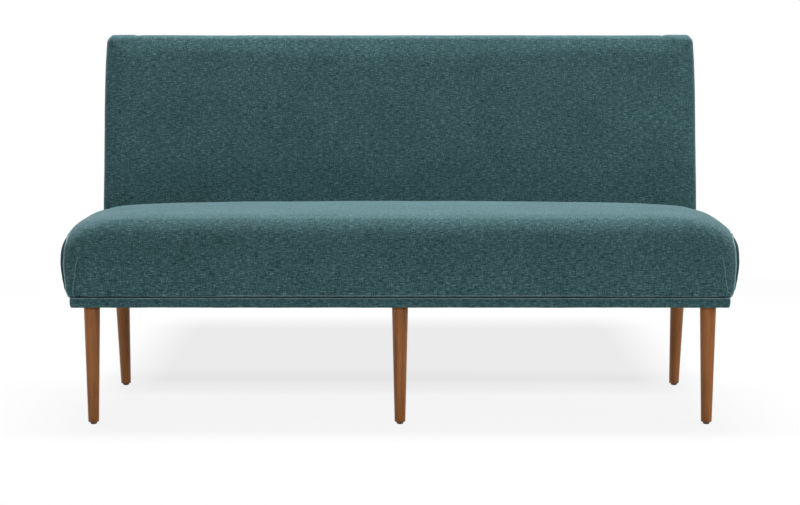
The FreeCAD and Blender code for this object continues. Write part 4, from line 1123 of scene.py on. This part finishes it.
# %% Riding and replacing
cover_pieces = [seat, back, band, band_roll, seat_hem, hem_painted_shade, hem_stitches, back_welt, back_stitches]
for piece in (*cover_pieces, straps, dust_sheet, deck_sheet, *seat_welts, *legs.values()):
    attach(piece, "root")
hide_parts("seat_cover", "left_seat_end_panel", "right_seat_end_panel", "seat_wrap", "seat_foam")
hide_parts("inside_back_cover", "outside_back_cover", "left_back_side_panel", "right_back_side_panel",
            "back_wrap", "back_foam")
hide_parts("front_band", "rear_band", "left_band", "right_band")
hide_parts("dust_cover")
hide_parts("seat_deck_cloth")
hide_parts("back_webbing")
for place, piece in legs.items():
    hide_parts(place + "_leg")

# %% [markdown]
# ## Light and floor
# A large soft box hangs over the bench, and a weaker one, high in front, fills the cloth that faces the
# camera. A low strip lifts the front of the seat. The box on the right is stronger than the one on the left,
# and one behind the bench draws a pale edge along the top of the back. The floor is white to the camera and
# keeps a soft shadow: its own colour is partly lit and partly glowing, so where the bench blocks the light
# it only darkens a little. Behind the bench a deeper shadow is painted in, where the floor glows less.

# %% Studio
# name, place, what it is aimed at, its width and height in metres, and its power in watts
SOFT_BOXES = [
    ("overhead_box", (0, 0.4, 3.4), (0, 0.1, 0.4), 3.2, 1.2, 224),
    ("front_box", (0, -5.3, 1.9), (0, 0, 0.35), 3.0, 1.5, 34),
    ("low_box", (0, -2.4, 0.12), (0, 0, 0.38), 2.8, 0.2, 6.5),
    ("right_box", (3.9, -1.6, 2.2), (0, 0, 0.5), 1.4, 1.4, 55),
    ("left_box", (-3.9, -1.6, 2.2), (0, 0, 0.5), 1.4, 1.4, 7),
    ("rear_box", (-0.5, 4.2, 1.6), (0, 0.3, 0.5), 2.4, 1.6, 72),
]
for name, place, aim, wide, tall, power in SOFT_BOXES:
    lamp = bpy.data.lights.new(name, "AREA")
    lamp.shape, lamp.size, lamp.size_y, lamp.energy = "RECTANGLE", wide, tall, power
    made = link_new(name, lamp)
    made.location = place
    made.rotation_euler = (Vector(aim) - Vector(place)).to_track_quat("-Z", "Y").to_euler()


def seen_directly(tree):
    """1 for rays from the camera and for what is seen in or through a surface, 0 for light."""
    path = put(tree, "ShaderNodeLightPath").outputs
    mirrored = maths(tree, "MAXIMUM", path["Is Glossy Ray"], path["Is Transmission Ray"])
    return maths(tree, "MAXIMUM", path["Is Camera Ray"], mirrored)


corners = [(-30, -30, 0), (30, -30, 0), (30, 30, 0), (-30, 30, 0)]
floor = new_piece("studio_floor", corners, [(0, 1, 2, 3)], [], False)
floor_finish = bpy.data.materials.new("studio_floor")
floor_finish.use_nodes = True
tree = floor_finish.node_tree
tree.nodes.clear()
lit = put(tree, "ShaderNodeBsdfDiffuse", {"Color": (0.07, 0.07, 0.07, 1)})
spot = put(tree, "ShaderNodeSeparateXYZ", {0: object_place(tree)}).outputs
# painted shadow: the floor glows less behind the bench, where the bench's shadow falls deepest
across_floor = between(tree, maths(tree, "ABSOLUTE", spot[0]), 0.60, 0.80, 1, 0)
along_floor = maths(tree, "MULTIPLY", between(tree, spot[1], 0.10, 0.35),
                    between(tree, spot[1], 1.25, 1.6, 1, 0))
far_shade = maths(tree, "MULTIPLY", across_floor, along_floor)
far_out = put(tree, "ShaderNodeVectorMath", {0: object_place(tree)}, operation="LENGTH").outputs["Value"]
glow_level = maths(tree, "MAXIMUM", between(tree, far_shade, 0, 1, 0.885, 0.69),
                   between(tree, far_out, 1.7, 3.2, 0.5, 1.0))
glow = put(tree, "ShaderNodeEmission", {"Color": (1, 1, 1, 1), "Strength": glow_level})
shown = put(tree, "ShaderNodeAddShader", {0: lit.outputs[0], 1: glow.outputs[0]})
plain = put(tree, "ShaderNodeBsdfDiffuse", {"Color": (0.55, 0.55, 0.55, 1)})
choice = put(tree, "ShaderNodeMixShader", {0: seen_directly(tree), 1: plain.outputs[0], 2: shown.outputs[0]})
put(tree, "ShaderNodeOutputMaterial", {"Surface": choice.outputs[0]})
floor.data.materials.append(floor_finish)

world = bpy.data.worlds.new("studio_air")
bpy.context.scene.world = world
world.use_nodes = True
tree = world.node_tree
tree.nodes.clear()
air = put(tree, "ShaderNodeBackground", {"Color": (0.95, 0.98, 1.0, 1), "Strength": 0.15})
white = put(tree, "ShaderNodeBackground", {"Color": (1, 1, 1, 1), "Strength": 1.0})
choice = put(tree, "ShaderNodeMixShader", {0: seen_directly(tree), 1: air.outputs[0], 2: white.outputs[0]})
put(tree, "ShaderNodeOutputWorld", {"Surface": choice.outputs[0]})
bpy.context.scene.view_settings.view_transform = "Standard"
